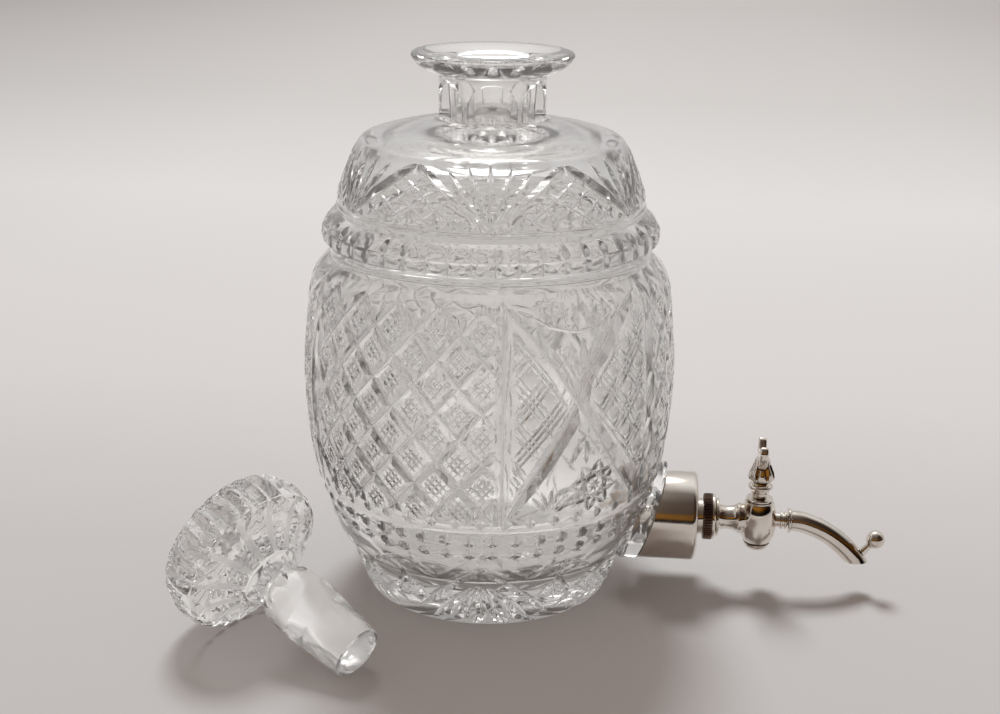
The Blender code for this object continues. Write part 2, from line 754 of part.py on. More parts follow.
def spout_tube(name, radius, start_back, material=None):
    """A tube along the spout's centre line, starting some way back from its ring."""
    curve = bpy.data.curves.new(name + "_path", "CURVE")
    curve.dimensions = "3D"
    curve.bevel_depth = radius
    curve.bevel_resolution = tube_resolution
    curve.use_fill_caps = True
    curve.resolution_u = path_resolution
    spline = curve.splines.new("BEZIER")
    spline.bezier_points.add(len(spout_shares) - 1)
    for point, (along, down) in zip(spline.bezier_points, spout_shares):
        point.co = (spout_start_x + along * spout_run, 0, tap_height - down * spout_drop)
        point.handle_left_type = "AUTO"
        point.handle_right_type = "AUTO"
    spline.bezier_points[0].co.x -= start_back
    return mesh_from_curve(bpy.data.objects.new(name + "_path", curve), name, material)


def build_spout(silver):
    end = outlet_ring_x + outlet_ring_thickness
    ring = [(port_radius, end)] + rounded_disc(outlet_ring_radius, outlet_ring_x, end)
    ring.append((port_radius, outlet_ring_x))
    lay_along_tap(turned("outlet_ring", ring, small_steps, silver, closed=True))
    spout = spout_tube("spout", spout_radius, 0, silver)
    mouth_z = tap_height - spout_mouth_drop
    mouth = block("spout_mouth",
                  (spout_start_x + spout_run * mouth_share, -spout_radius * 2, mouth_z - spout_drop),
                  (spout_start_x + spout_run * 2, spout_radius * 2, mouth_z))
    cut(spout, spout_tube("spout_bore", spout_bore_radius, overrun))
    cut(spout, mouth)

    tip = Vector((spout_start_x + spout_run, 0, mouth_z))
    rise = Vector((ball_ahead, 0, ball_above_mouth))
    reach = rise.length
    outline = [(0, reach + ball_radius)]
    for angle in range(20, 150, 20):
        turn = math.radians(angle)
        outline.append((ball_radius * math.sin(turn), reach + ball_radius * math.cos(turn)))
    outline += [(stalk_radius, reach - ball_radius), (stalk_radius * stalk_foot_share, 0), (0, 0)]
    ball = turned("spout_ball", outline, small_steps, silver)
    ball.rotation_euler = rise.to_track_quat("Z", "Y").to_euler()
    ball.location = tip
    cut(ball, spout_tube("ball_seat", spout_radius + gap, 0))


def build_stopper(glass):
    """The stopper, lying on the table on the rim of its head and the tip of its plug."""
    outline = [(0, 0)] + scaled(stopper_shares, stopper_head_radius, 0, -stopper_length)
    seam = -stopper_seam_share * stopper_length
    tip_start = stopper_tip_round - stopper_length
    outline += [(stopper_seam_radius, seam), (stopper_plug_radius, seam - stopper_tip_round),
                (stopper_tip_radius, tip_start)]
    tilt = max(math.atan2(radius - stopper_tip_radius, height - tip_start)
               for radius, height in outline[:-1])
    face_height = max(radius * math.cos(tilt) - height * math.sin(tilt)
                      for radius, height in outline)
    outline += [(stopper_tip_radius - stopper_tip_round, -stopper_length), (0, -stopper_length)]
    stopper = turned("stopper", outline, large_steps, glass)
    place = bpy.data.objects.new("stopper_place", None)
    parts.objects.link(place)
    distance = belly_radius + stopper_head_radius + stopper_clearance
    bearing = math.radians(stopper_bearing_degrees)
    place.location = (distance * math.cos(bearing), distance * math.sin(bearing), face_height)
    place.rotation_euler = (0, 0, math.radians(stopper_yaw_degrees))
    stopper.parent = place
    stopper.rotation_euler = (0, tilt - math.radians(90), 0)


def main():
    clear_scene()
    for collection in (parts, cutters):
        bpy.context.scene.collection.children.link(collection)
    glass = make_material("cut_glass", (0.95, 0.96, 0.95), roughness=0.02, transmission=1.0)
    stopper_glass = make_material("stopper_glass", (0.95, 0.96, 0.95), roughness=0.02,
                                  transmission=1.0)
    silver = make_material("silver_plate", (0.78, 0.74, 0.68), metallic=1.0, roughness=0.18)
    dark_silver = make_material("dark_silver", (0.20, 0.16, 0.13), metallic=1.0, roughness=0.45)
    plaster = make_material("plaster", (0.62, 0.58, 0.52), roughness=0.9)
    cork = make_material("cork", (0.55, 0.40, 0.26), roughness=0.9)
    leather = make_material("leather", (0.16, 0.11, 0.08), roughness=0.8)
    key = bpy.data.objects.new("key_axis", None)
    parts.objects.link(key)
    key.location = (plug_axis_x, 0, tap_height)
    build_barrel(glass)
    build_collar(silver, plaster, cork)
    build_union(silver, dark_silver, leather)
    build_tap_body(silver)
    build_plug(silver, leather, key)
    build_key(silver, key)
    build_spout(silver)
    build_stopper(stopper_glass)


main()
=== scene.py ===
# %% [markdown]
# # A cut-glass spirit barrel with a silver tap
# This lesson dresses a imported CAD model: a barrel-shaped decanter of heavy lead crystal, a silver
# tap near its foot, and a round-headed stopper lying beside it. The CAD gives every piece its
# size and place. What it leaves out is what makes the object sparkle: hundreds of grooves that
# were ground into the glass with stone wheels. So the glass is made here as in the workshop. A
# plain thick blank is turned first, and then each groove is cut out of it with a Boolean.

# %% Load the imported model
import json
import math

import bmesh
import bpy
import numpy as np
from mathutils import Matrix, Vector

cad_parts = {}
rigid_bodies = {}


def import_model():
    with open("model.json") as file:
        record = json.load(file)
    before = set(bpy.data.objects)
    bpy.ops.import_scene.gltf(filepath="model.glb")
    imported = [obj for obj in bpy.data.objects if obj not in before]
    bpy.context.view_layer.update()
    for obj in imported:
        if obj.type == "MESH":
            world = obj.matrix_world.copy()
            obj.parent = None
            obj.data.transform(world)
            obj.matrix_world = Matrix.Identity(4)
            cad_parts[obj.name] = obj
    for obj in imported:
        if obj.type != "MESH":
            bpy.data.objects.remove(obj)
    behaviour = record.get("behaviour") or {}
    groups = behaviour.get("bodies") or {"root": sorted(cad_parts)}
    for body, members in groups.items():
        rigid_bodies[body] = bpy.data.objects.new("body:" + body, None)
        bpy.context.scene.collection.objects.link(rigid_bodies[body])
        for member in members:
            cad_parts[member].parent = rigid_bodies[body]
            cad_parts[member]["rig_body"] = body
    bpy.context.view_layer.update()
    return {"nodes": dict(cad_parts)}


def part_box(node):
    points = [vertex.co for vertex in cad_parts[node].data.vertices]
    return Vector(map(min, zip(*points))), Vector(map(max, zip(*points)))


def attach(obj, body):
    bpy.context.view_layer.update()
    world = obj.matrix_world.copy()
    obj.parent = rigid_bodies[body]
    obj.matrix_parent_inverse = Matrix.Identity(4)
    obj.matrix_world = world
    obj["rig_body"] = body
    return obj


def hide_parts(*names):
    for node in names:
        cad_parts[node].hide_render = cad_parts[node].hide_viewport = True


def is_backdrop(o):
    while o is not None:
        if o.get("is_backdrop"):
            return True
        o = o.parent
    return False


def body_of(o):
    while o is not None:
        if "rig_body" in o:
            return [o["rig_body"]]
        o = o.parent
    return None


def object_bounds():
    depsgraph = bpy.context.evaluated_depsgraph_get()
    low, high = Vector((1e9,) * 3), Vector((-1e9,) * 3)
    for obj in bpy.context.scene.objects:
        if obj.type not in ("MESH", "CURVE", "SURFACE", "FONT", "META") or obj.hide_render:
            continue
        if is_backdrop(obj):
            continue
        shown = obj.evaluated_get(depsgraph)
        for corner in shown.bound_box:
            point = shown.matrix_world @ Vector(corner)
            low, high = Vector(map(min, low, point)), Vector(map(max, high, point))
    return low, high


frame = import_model()
mm = 0.001

# %% [markdown]
# ## The camera
# The photograph was taken from about 0.6 m, a little above the rim. A camera turns in three
# steps here: it tilts down from level, rolls slightly about its own sight line, and then swings
# round the vertical. Three matrices multiplied in that order say this more clearly than one set
# of Euler angles.

# %% Set up the camera
camera_place = (59.6 * mm, -567.0 * mm, 290.9 * mm)
camera_swing, camera_tilt, camera_roll = 5.568, 71.184, 0.779
camera_lens, sensor_width = 52.2, 36.0
camera_data = bpy.data.cameras.new("camera")
camera_data.sensor_width = sensor_width
camera_data.lens = camera_lens
camera = bpy.data.objects.new("camera", camera_data)
bpy.context.scene.collection.objects.link(camera)
camera.matrix_world = (
    Matrix.Translation(camera_place)
    @ Matrix.Rotation(math.radians(camera_swing), 4, "Z")
    @ Matrix.Rotation(math.radians(camera_tilt), 4, "X")
    @ Matrix.Rotation(math.radians(camera_roll), 4, "Z"))
bpy.context.scene.camera = camera
print("camera", [round(value, 3) for value in camera_place], "lens", camera_data.lens, "mm")

# %% [markdown]
# ## Small helpers for modelling by hand
# Blender's operators act on whatever is selected. After loading, all the CAD pieces still are,
# so everything is deselected before a new piece is begun. A new primitive's UV map is put at zero
# all over, because here the map will say how deep in a wheel cut a point lies.

# %% Helpers for selecting
def deselect_all():
    for thing in list(bpy.context.selected_objects):
        thing.select_set(False)


def pick(piece):
    """Make a piece the only selected one, and the active one."""
    deselect_all()
    piece.select_set(True)
    bpy.context.view_layer.objects.active = piece


def started(name):
    """Name the primitive that was just added, and put its whole UV map at zero."""
    piece = bpy.context.object
    piece.name = name
    piece.data.name = name
    for layer in piece.data.uv_layers:
        layer.uv.foreach_set("vector", [0.0] * (2 * len(layer.uv)))
    return piece


def apply_place(piece):
    """Put a piece's location, turn and scale into its mesh, so that it sits at the origin."""
    pick(piece)
    bpy.ops.object.transform_apply(location=True, rotation=True, scale=True)


def edit_all():
    """Go into edit mode with the whole mesh selected."""
    bpy.ops.object.mode_set(mode="EDIT")
    bpy.ops.mesh.select_all(action="SELECT")


def boolean(piece, cutter, operation="DIFFERENCE"):
    """Join a cutter to a piece or take it away, then throw the cutter away."""
    pick(piece)
    modifier = piece.modifiers.new(cutter.name, "BOOLEAN")
    modifier.operation = operation
    modifier.solver = "MANIFOLD"
    modifier.object = cutter
    bpy.ops.object.modifier_apply(modifier=modifier.name)
    bpy.data.objects.remove(cutter)


def open_edges(piece):
    bm = bmesh.new()
    bm.from_mesh(piece.data)
    count = sum(1 for edge in bm.edges if not edge.is_manifold)
    bm.free()
    return count


def triangle_count(piece):
    return sum(len(face.vertices) - 2 for face in piece.data.polygons)


def report(piece):
    print(piece.name, triangle_count(piece), "triangles,", open_edges(piece), "open edges")

# %% [markdown]
# ## Turning on the lathe
# A turned piece is drawn up from a disc, ring by ring: the rim of the disc is extruded to the
# next height and scaled to the next radius. The outline is a list of (radius, height) points in
# millimetres, outside first, then over the lip and down the inside, so the solid is closed.

# %% A helper that turns a solid
def turned(name, outline, steps):
    (radius, height), rest = outline[0], outline[1:]
    deselect_all()
    bpy.ops.mesh.primitive_circle_add(vertices=steps, radius=radius * mm, fill_type="NGON",
                                      location=(0, 0, height * mm))
    piece = started(name)
    apply_place(piece)
    edit_all()
    for next_radius, next_height in rest:
        rise = (0, 0, (next_height - height) * mm)
        grow = next_radius / radius
        bpy.ops.mesh.extrude_region_move(TRANSFORM_OT_translate={"value": rise})
        bpy.ops.transform.resize(value=(grow, grow, 1), center_override=(0, 0, 0))
        radius, height = next_radius, next_height
    bpy.ops.mesh.select_all(action="SELECT")
    bpy.ops.mesh.normals_make_consistent(inside=False)
    bpy.ops.object.mode_set(mode="OBJECT")
    return piece


def smoothed(points, steps=2):
    """Run a smooth curve through some outline points, with so many steps between two."""
    points = np.array(points, float)
    ends = np.vstack([2 * points[0] - points[1], points, 2 * points[-1] - points[-2]])
    curve = []
    for a, b, c, d in zip(ends, ends[1:], ends[2:], ends[3:]):
        for t in np.arange(steps) / steps:
            curve.append(0.5 * (2 * b + (c - a) * t + (2 * a - 5 * b + 4 * c - d) * t ** 2
                                + (3 * b - a - 3 * c + d) * t ** 3))
    return [tuple(point) for point in curve] + [tuple(points[-1])]

# %% [markdown]
# ## The blank of the barrel
# The outline follows the photograph: a foot that flares, a plain cove above it, the big belly, a
# shelf with a hollow under it, the upper band, the shoulder, a polished dome and a neck with a
# dished rim. The curved runs are smoothed, and the steps between them stay crisp.

# %% Outline and blank
blank_steps = 128
foot_line = smoothed([(53.0, 3.0), (55.6, 10.0), (59.3, 20.0), (64.0, 27.5), (66.6, 34.5)])
cove_line = smoothed([(68.2, 40.5), (69.8, 45.0), (70.0, 47.0), (70.7, 49.8), (72.2, 52.2)])
belly_line = smoothed([(72.9, 54.0), (73.7, 60.0), (75.0, 70.0), (76.2, 85.0), (76.3, 95.0),
                       (75.8, 105.0), (74.8, 115.0), (73.9, 125.0), (72.6, 132.0),
                       (70.3, 137.0), (67.6, 140.0), (64.6, 142.3)])
shelf_line = smoothed([(64.3, 144.0), (64.4, 145.6), (65.2, 147.6), (66.9, 149.3)])
upper_line = [(67.6, 149.8), (67.9, 151.8), (67.6, 153.8), (66.5, 154.3), (66.9, 154.9),
              (65.6, 157.3), (63.6, 159.2)]
ring_line = smoothed([(61.4, 160.3), (61.7, 161.6), (61.9, 163.0), (61.6, 163.9)])
shoulder_line = smoothed([(61.5, 164.5), (61.3, 167.0), (60.6, 170.0), (57.5, 178.0),
                          (54.8, 184.0), (53.3, 186.5), (51.6, 188.6), (48.5, 190.0),
                          (41.5, 192.0), (34.0, 193.6), (27.5, 194.6), (23.3, 195.3),
                          (21.6, 196.3)])
neck_line = [(21.1, 198.0), (21.1, 204.8), (21.1, 211.5)]
rim_line = smoothed([(21.6, 213.2), (23.5, 214.1), (27.0, 215.4), (29.8, 217.2), (31.4, 219.2),
                     (32.0, 220.5), (31.5, 221.6), (30.0, 222.2)])
mouth_line = smoothed([(24.0, 222.15), (20.5, 221.6), (16.6, 220.7), (14.6, 220.2),
                       (13.75, 219.4)])
cavity_line = smoothed([(10.9, 193.0), (11.0, 189.0), (14.0, 185.6), (22.0, 184.4),
                        (30.0, 183.8), (40.0, 181.0), (46.0, 176.0), (51.0, 168.0),
                        (53.5, 160.0), (56.0, 150.0), (58.0, 142.0), (61.0, 135.0),
                        (64.5, 125.0), (66.8, 110.0), (67.6, 90.0), (66.4, 70.0), (63.0, 50.0),
                        (58.2, 35.0), (52.0, 25.0), (44.0, 18.5), (34.0, 15.3), (20.0, 14.0),
                        (4.0, 13.6)])
outside_line = ([(49.5, 0.0), (51.8, 0.6)] + foot_line + [(67.2, 37.0)] + cove_line + belly_line
                + shelf_line + upper_line + ring_line + shoulder_line)
barrel = turned("crystal_barrel", outside_line + neck_line + rim_line + mouth_line + cavity_line,
                blank_steps)
report(barrel)

# %% [markdown]
# ## The neck's flats
# Six flats were ground round the neck, each with an arched top. A cylinder primitive that lies
# on its side makes the arch, and its lower half is pulled down to make the straight part below.

# %% A helper for rods
along_x, along_y = (0, math.radians(90), 0), (math.radians(90), 0, 0)


def rod(name, way, steps, radius, length, place):
    """Add a cylinder that lies along one way. Its radius, length and place are in mm."""
    deselect_all()
    bpy.ops.mesh.primitive_cylinder_add(vertices=steps, radius=radius * mm, depth=length * mm,
                                        rotation=way, location=[part * mm for part in place])
    piece = started(name)
    apply_place(piece)
    return piece

# %% Grind the flats of the neck
neck_flats, neck_flat_turn = 6, 6
neck_flat_radius, neck_flat_low, neck_flat_high, neck_flat_half = 18.4, 197.2, 211.4, 9.6
arch_middle = neck_flat_high - neck_flat_half
stone_depth, stone_drop = 6, 9
for number in range(neck_flats):
    flat = rod("neck_flat", along_y, 48, neck_flat_half, stone_depth,
               (0, -(neck_flat_radius + stone_depth / 2), arch_middle))
    for vertex in flat.data.vertices:
        if vertex.co.z < (arch_middle - 0.01) * mm:
            vertex.co.z = max(vertex.co.z - stone_drop * mm, neck_flat_low * mm)
    flat.rotation_euler.z = math.radians(neck_flat_turn + 360 / neck_flats * number)
    apply_place(flat)
    boolean(barrel, flat)
report(barrel)

# %% [markdown]
# ## The pad that carries the tap
# A round pad of glass stands out of the wall near the foot, leaning with it, and a hole for the
# tap's pipe runs through both. The pad is a disc on edge, whose points are pushed outwards the
# more, the higher they lie.

# %% Join the pad and drill the hole
tap_height, pad_radius, pad_rise, pad_lean = 29.7, 20.8, 1.8, 0.31
pad_back, pad_face = 60.4, 68.6
hole_radius, drill_length, drill_middle = 8, 50, 70
pad = rod("tap_pad", along_x, 96, pad_radius, pad_face - pad_back,
          ((pad_back + pad_face) / 2, 0, tap_height + pad_rise))
for vertex in pad.data.vertices:
    vertex.co.x += pad_lean * (vertex.co.z - tap_height * mm)
boolean(barrel, pad, "UNION")
boolean(barrel, rod("tap_hole", along_x, 64, hole_radius, drill_length,
                    (drill_middle, 0, tap_height)))
report(barrel)

# %% [markdown]
# ## Wheel cuts
# A cutter's wheel has a V-shaped or rounded edge, and each cut runs deepest in its middle and
# dies out towards its ends. One stick of a few sides, sliced into lengths, is the stuff of every
# cut: each copy is bent along the wall, its slices are made deep or shallow, and a whole family
# of copies that don't touch each other is taken out of the glass at once. A copy's UV map is 0
# at the edges of the cut and 1 down in its valley. The Boolean hands the map on to the faces that
# it leaves in the glass, where the crystal's finish will read it.

# %% Helpers for cutting with a wheel
wall = np.array(outside_line)
# A cutter reaches this far out of the glass, and the wall's slope is read this far either way.
lift, probe = 0.6, 1


def wall_at(height, outline=wall):
    """An outline's radius and its outward normal (radial, upward) at some heights, in mm."""
    radius = np.interp(height, outline[:, 1], outline[:, 0])
    slope = (np.interp(height + probe, outline[:, 1], outline[:, 0])
             - np.interp(height - probe, outline[:, 1], outline[:, 0])) / (2 * probe)
    length = np.sqrt(1 + slope ** 2)
    return radius, 1 / length, -slope / length


def lathe_place(outline, turn, height):
    """Points and normals on a turned piece: turn in degrees from the front, height in mm."""
    angle = np.radians(turn)
    radius, out, up = wall_at(height, outline)
    side, front = np.sin(angle), -np.cos(angle)
    return (np.stack([radius * side, radius * front, height], -1),
            np.stack([out * side, out * front, up], -1))


def on_wall(turn, height):
    """Points and normals on the barrel."""
    return lathe_place(wall, turn, height)


sticks = {}


def stick(sides, slices):
    """Coordinates round and along a sliced stick, and its mesh."""
    if (sides, slices) not in sticks:
        deselect_all()
        bpy.ops.mesh.primitive_cylinder_add(vertices=sides, radius=1, depth=1)
        piece = started("stick")
        bpy.ops.object.mode_set(mode="EDIT")
        bpy.ops.mesh.select_all(action="DESELECT")
        bpy.ops.mesh.select_mode(type="EDGE")
        bpy.ops.object.mode_set(mode="OBJECT")
        for edge in piece.data.edges:
            low, high = (piece.data.vertices[i].co.z for i in edge.vertices)
            edge.select = abs(high - low) > 0.5
        bpy.ops.object.mode_set(mode="EDIT")
        bpy.ops.mesh.subdivide(number_cuts=slices - 1)
        bpy.ops.object.mode_set(mode="OBJECT")
        place = np.array([vertex.co for vertex in piece.data.vertices])
        corner = np.round(np.arctan2(place[:, 1], place[:, 0]) / (2 * np.pi) * sides)
        along = np.round((place[:, 2] + 0.5) * slices)
        mesh = piece.data.copy()
        bpy.data.objects.remove(piece)
        sticks[sides, slices] = (corner.astype(int) % sides, along.astype(int), mesh)
    return sticks[sides, slices]


# The edge of a wheel, as (across, down) in shares of a cut's half width and of its depth
mitre = [(-1.0, 0.0), (0.0, 1.0), (1.0, 0.0)]
round_edge = [(-1.0, 0.0), (-0.75, 0.5), (-0.4, 0.87), (0.0, 1.0), (0.4, 0.87), (0.75, 0.5),
              (1.0, 0.0)]


def cut_stick(path, width, depth, taper=2.0, edge=mitre, surface=on_wall, pace=3.0):
    """One cut as a cutter: its path on the glass, and its width, depth and run-out in mm."""
    path = np.array(path, float)
    points, _ = surface(path[:, 0], path[:, 1])
    run = np.concatenate([[0], np.cumsum(np.linalg.norm(np.diff(points, axis=0), axis=1))])
    slices = max(4, int(round(run[-1] / pace)))
    share = np.linspace(0, 1, slices + 1)
    first = np.interp(share * run[-1], run, path[:, 0])
    second = np.interp(share * run[-1], run, path[:, 1])
    points, normals = surface(first, second)
    ahead = np.gradient(points, axis=0)
    side = np.cross(ahead, normals)
    side /= np.linalg.norm(side, axis=1)[:, None]
    deep = depth * (1 - np.abs(2 * share - 1) ** taper)
    # Both ends stay just outside the glass.
    deep[0] = deep[-1] = -lift / 6
    tall = deep + lift
    half = tall * (width / 2 / depth)
    corner, along, mesh = stick(len(edge), slices)
    across = np.array([x for x, _ in edge])[corner]
    down = np.array([y for _, y in edge])[corner]
    place = (points[along] + side[along] * (across * half[along])[:, None]
             + normals[along] * (lift - down * tall[along])[:, None])
    copy = mesh.copy()
    copy.vertices.foreach_set("co", (place * mm).ravel())
    corners = np.empty(len(copy.loops), int)
    copy.loops.foreach_get("vertex_index", corners)
    depth_map = np.stack([np.zeros(len(corners)), down[corners]], -1)
    copy.uv_layers[0].uv.foreach_set("vector", depth_map.ravel())
    return copy


def wheel(piece, name, cuts):
    """Take a family of cuts out of the glass. The cuts of one family never touch."""
    deselect_all()
    for cut in cuts:
        stone = bpy.data.objects.new(name, cut)
        bpy.context.scene.collection.objects.link(stone)
        stone.select_set(True)
    bpy.context.view_layer.objects.active = stone
    if len(cuts) > 1:
        bpy.ops.object.join()
    stone = bpy.context.view_layer.objects.active
    edit_all()
    bpy.ops.mesh.normals_make_consistent(inside=False)
    bpy.ops.object.mode_set(mode="OBJECT")
    before = triangle_count(piece)
    boolean(piece, stone)
    print(name, len(cuts), "cuts,", before, "->", triangle_count(piece), "triangles")

# %% [markdown]
# ## The belly
# The belly's pattern repeats three times round: a panel of large diamonds, then a panel with a
# big X. Tall pointed splits part them. A path is written as (turn, height) points, with the turn
# in degrees from the front, and each family of paths is cut at every repeat at once.

# %% Helpers for families of cuts
def engrave(name, paths, count=3, **sizes):
    """Cut some paths into the barrel, repeated so many times round it."""
    wheel(barrel, name, [
        cut_stick([(turn + 360 / count * number, height) for turn, height in path], **sizes)
        for path in paths for number in range(count)])


def engrave_fan(name, blades, **sizes):
    """Cut a fan in two rounds, every second blade first, because neighbours touch at its root."""
    engrave(name, blades[0::2], **sizes)
    engrave(name, blades[1::2], **sizes)


def inside(polygon, turn, height):
    """Whether points lie in a polygon: a level ray from them crosses its edges an odd count."""
    odd = np.zeros(np.shape(turn), bool)
    for (turn_a, height_a), (turn_b, height_b) in zip(polygon, polygon[1:] + polygon[:1]):
        if height_a != height_b:
            spans = (height_a > height) != (height_b > height)
            share = (height - height_a) / (height_b - height_a)
            odd ^= spans & (turn < turn_a + share * (turn_b - turn_a))
    return odd


line_reach, line_samples = 12, 1201
shortest_line, mm_per_degree = 4.5, 1.3


def lines_across(polygon, start, step, way, numbers):
    """The parts in a polygon of the parallel lines that lie some steps from a point."""
    paths = []
    share = np.linspace(-line_reach, line_reach, line_samples)
    for number in numbers:
        turn = start[0] + number * step[0] + share * way[0]
        height = start[1] + number * step[1] + share * way[1]
        keep = np.flatnonzero(inside(polygon, turn, height))
        if len(keep):
            run = max(np.split(keep, np.flatnonzero(np.diff(keep) > 1) + 1), key=len)
            ends = [(turn[index], height[index]) for index in (run[0], run[-1])]
            span = math.hypot((ends[1][0] - ends[0][0]) * mm_per_degree, ends[1][1] - ends[0][1])
            if span > shortest_line:
                paths.append(ends)
    return paths


def beside(centre, right, up):
    """The point so many mm to the right of another on the barrel, and above it."""
    turn, height = centre
    radius, _, _ = wall_at(height)
    return turn + math.degrees(right / radius), height + up


def ray_end(centre, tilt, length):
    """The point so many mm from another on the barrel, tilted so many degrees from upright."""
    tilt = math.radians(tilt)
    return beside(centre, length * math.sin(tilt), length * math.cos(tilt))


def fan_of(root, tilts, near, far):
    """Blades that fan out from a root: they start and end so many mm from it."""
    return [[ray_end(root, tilt, near), ray_end(root, tilt, far)] for tilt in tilts]

# %% Splits between the panels
belly_low, belly_high = 54.8, 141.5
diamond_left, diamond_right = -59, 10
split_low, split_high = belly_low - 2, belly_high + 1
engrave("splits", [[(turn, split_low), (turn, split_high)]
                   for turn in (diamond_left, diamond_right)], width=6.4, depth=2.2, taper=4.0)

# %% Large diamonds
diamond_wide, diamond_tall = 13.6, 19.85
diamond_middle = (-9.4, 99.3)
panel_low, panel_high = belly_low + 0.6, belly_high - 2
diamond_panel = [(diamond_left + 1, panel_low), (diamond_left + 1, panel_high),
                 (diamond_right - 1, panel_high), (diamond_right - 1, panel_low)]
# Steps either way from a button, enough to cross any panel
lattice = range(-9, 10)
for sign in (1, -1):
    lines = lines_across(diamond_panel, diamond_middle, (0, diamond_tall),
                         (diamond_wide, sign * diamond_tall), lattice)
    engrave("diamond_lines", lines, width=4.6, depth=1.5, taper=14.0)

# %% A small star on each diamond
# Each star is three lines each way. Their gap and half length are shares of the diamond.
star_gap, star_reach = 0.085, 0.19
buttons = [(diamond_middle[0] + column * diamond_wide / 2,
            diamond_middle[1] + row * diamond_tall / 2)
           for row in lattice for column in lattice if (row + column) % 2]
buttons = [(turn, height) for turn, height in buttons
           if diamond_left + 3 < turn < diamond_right - 3
           and belly_low + 4 < height < belly_high - 5]
for sign in (1, -1):
    for shift in (-star_gap, 0, star_gap):
        star = [[(turn + diamond_wide * (shift + end),
                  height + sign * diamond_tall * (end - shift)) for end in (-star_reach, star_reach)]
                for turn, height in buttons]
        engrave("star_lines", star, width=1.3, depth=0.6, pace=2.6)
print("diamonds", len(buttons) * 3)
report(barrel)

# %% The big X
arms = [
    [(11, 56), (21.5, 78), (32.5, 101), (34, 111.3), (40.6, 120.8), (46.2, 130.4), (51.5, 135.7),
     (58.5, 139.7)],
    [(57, 56), (48.6, 70), (40, 86), (32.5, 101), (26.3, 114.1), (17.4, 129.6), (9.5, 140)]]
for arm in arms:
    engrave("cross_arm", [arm], width=7.4, depth=2.4, taper=6.0)

# %% [markdown]
# ## Between the arms of the X
# On either side of the X lies a chair-cane pattern: triple lines cross slantwise, and a shallow
# hollow is ground into each button that they leave. A star of eight points fills the lower
# angle, under a kite of three long cuts. The upper angle holds a fan and a row of leaves.

# %% Chair cane
cane_left = [(12.6, 64.0), (12.6, 131.0), (16.2, 126.0), (24.2, 112.0), (29.4, 101.3),
             (19.4, 81.0)]
cane_right = [(58.6, 66.0), (58.6, 134.5), (53.4, 131.0), (44.4, 119.5), (37.0, 108.5),
              (35.6, 101.3), (42.8, 88.0), (51.6, 72.0)]
cane_turn, cane_height = 5.3, 8.5
cane_fields = [(cane_left, (12.6, 104.4)), (cane_right, (44.2, 95.6))]
cane_rows = [place + shift for place in np.arange(-8.5, 9) for shift in (-0.19, 0, 0.19)]
for sign in (1, -1):
    lines = []
    for field, button in cane_fields:
        lines += lines_across(field, button, (cane_turn, -sign * cane_height),
                              (cane_turn, sign * cane_height), cane_rows)
    engrave("cane_lines", lines, width=1.4, depth=0.65, taper=10.0, pace=4.0)
hollow_half_width, hollow_half_height = 2, 2.9
hollows = []
for field, (turn, height) in cane_fields:
    for a in lattice:
        for b in lattice:
            place = (turn + (a + b) * cane_turn, height + (a - b) * cane_height)
            sides = [beside(place, right, 0) for right in (-hollow_half_width, hollow_half_width)]
            if all(inside(field, *side) for side in sides):
                hollows.append([beside(place, 0, up)
                                for up in (-hollow_half_height, hollow_half_height)])
engrave("cane_hollows", hollows, width=5.4, depth=0.8, edge=round_edge, pace=1.5)
print("cane buttons", len(hollows) * 3)
report(barrel)

# %% Eight-pointed star and kite
star_middle, star_radius, star_tilt = (38.7, 67.0), 11.5, 8
heart_radius, heart_tilt = 3.6, 30
tips = [ray_end(star_middle, 45 * k + star_tilt, star_radius) for k in range(8)]
for k in range(4):
    engrave("hobstar", [[tips[k], tips[(k + 3) % 8]], [tips[k + 4], tips[(k + 7) % 8]]],
            width=2.3, depth=0.9, taper=10.0)
for k in range(4):
    engrave("hobstar_heart", [[ray_end(star_middle, 45 * k + heart_tilt, end)
                               for end in (-heart_radius, heart_radius)]],
            width=1.6, depth=0.6, pace=2.0)
kite_top = (34.4, 89.5)
for foot in ((29.4, 77.0), (35.2, 76.5), (41.0, 79.5)):
    engrave("kite", [[kite_top, foot]], width=3.4, depth=1.2, taper=2.6)
low_fan_root = (24.5, 57.0)
engrave_fan("low_fan", fan_of(low_fan_root, (-40, -20, 0, 20, 40, 60), near=2, far=12),
            width=2.4, depth=0.9)

# %% Fan and leaves in the upper angle
upper_fan_root = (33.4, 106.5)
engrave_fan("upper_fan", fan_of(upper_fan_root, (-30, -15, 0, 15, 29), near=3, far=21),
            width=3.4, depth=1.1)
arc = [(17.6, 136.0), (24.0, 131.6), (32.0, 129.2), (40.0, 130.6), (45.0, 134.5)]
engrave("upper_arc", [arc], width=1.6, depth=0.6, taper=8.0)
leaf_axis, leaf_low, leaf_high = 32, 131.2, 139.6
leaf_climb, leaf_lean = 0.06, 0.1
leaves = [[(turn, leaf_low + abs(turn - leaf_axis) ** 1.5 * leaf_climb),
           (turn + (turn - leaf_axis) * leaf_lean, leaf_high)] for turn in np.arange(22, 45, 3.3)]
engrave("leaves", leaves, width=2.9, depth=1.0, pace=2.0)
report(barrel)

# %% [markdown]
# ## The bands above and below the belly
# The upper band is notched twice round by short lens-shaped cuts, 48 to the round. Under the
# belly two rows of the same count run round the cove, and a third bites into the belly's edge
# between them.

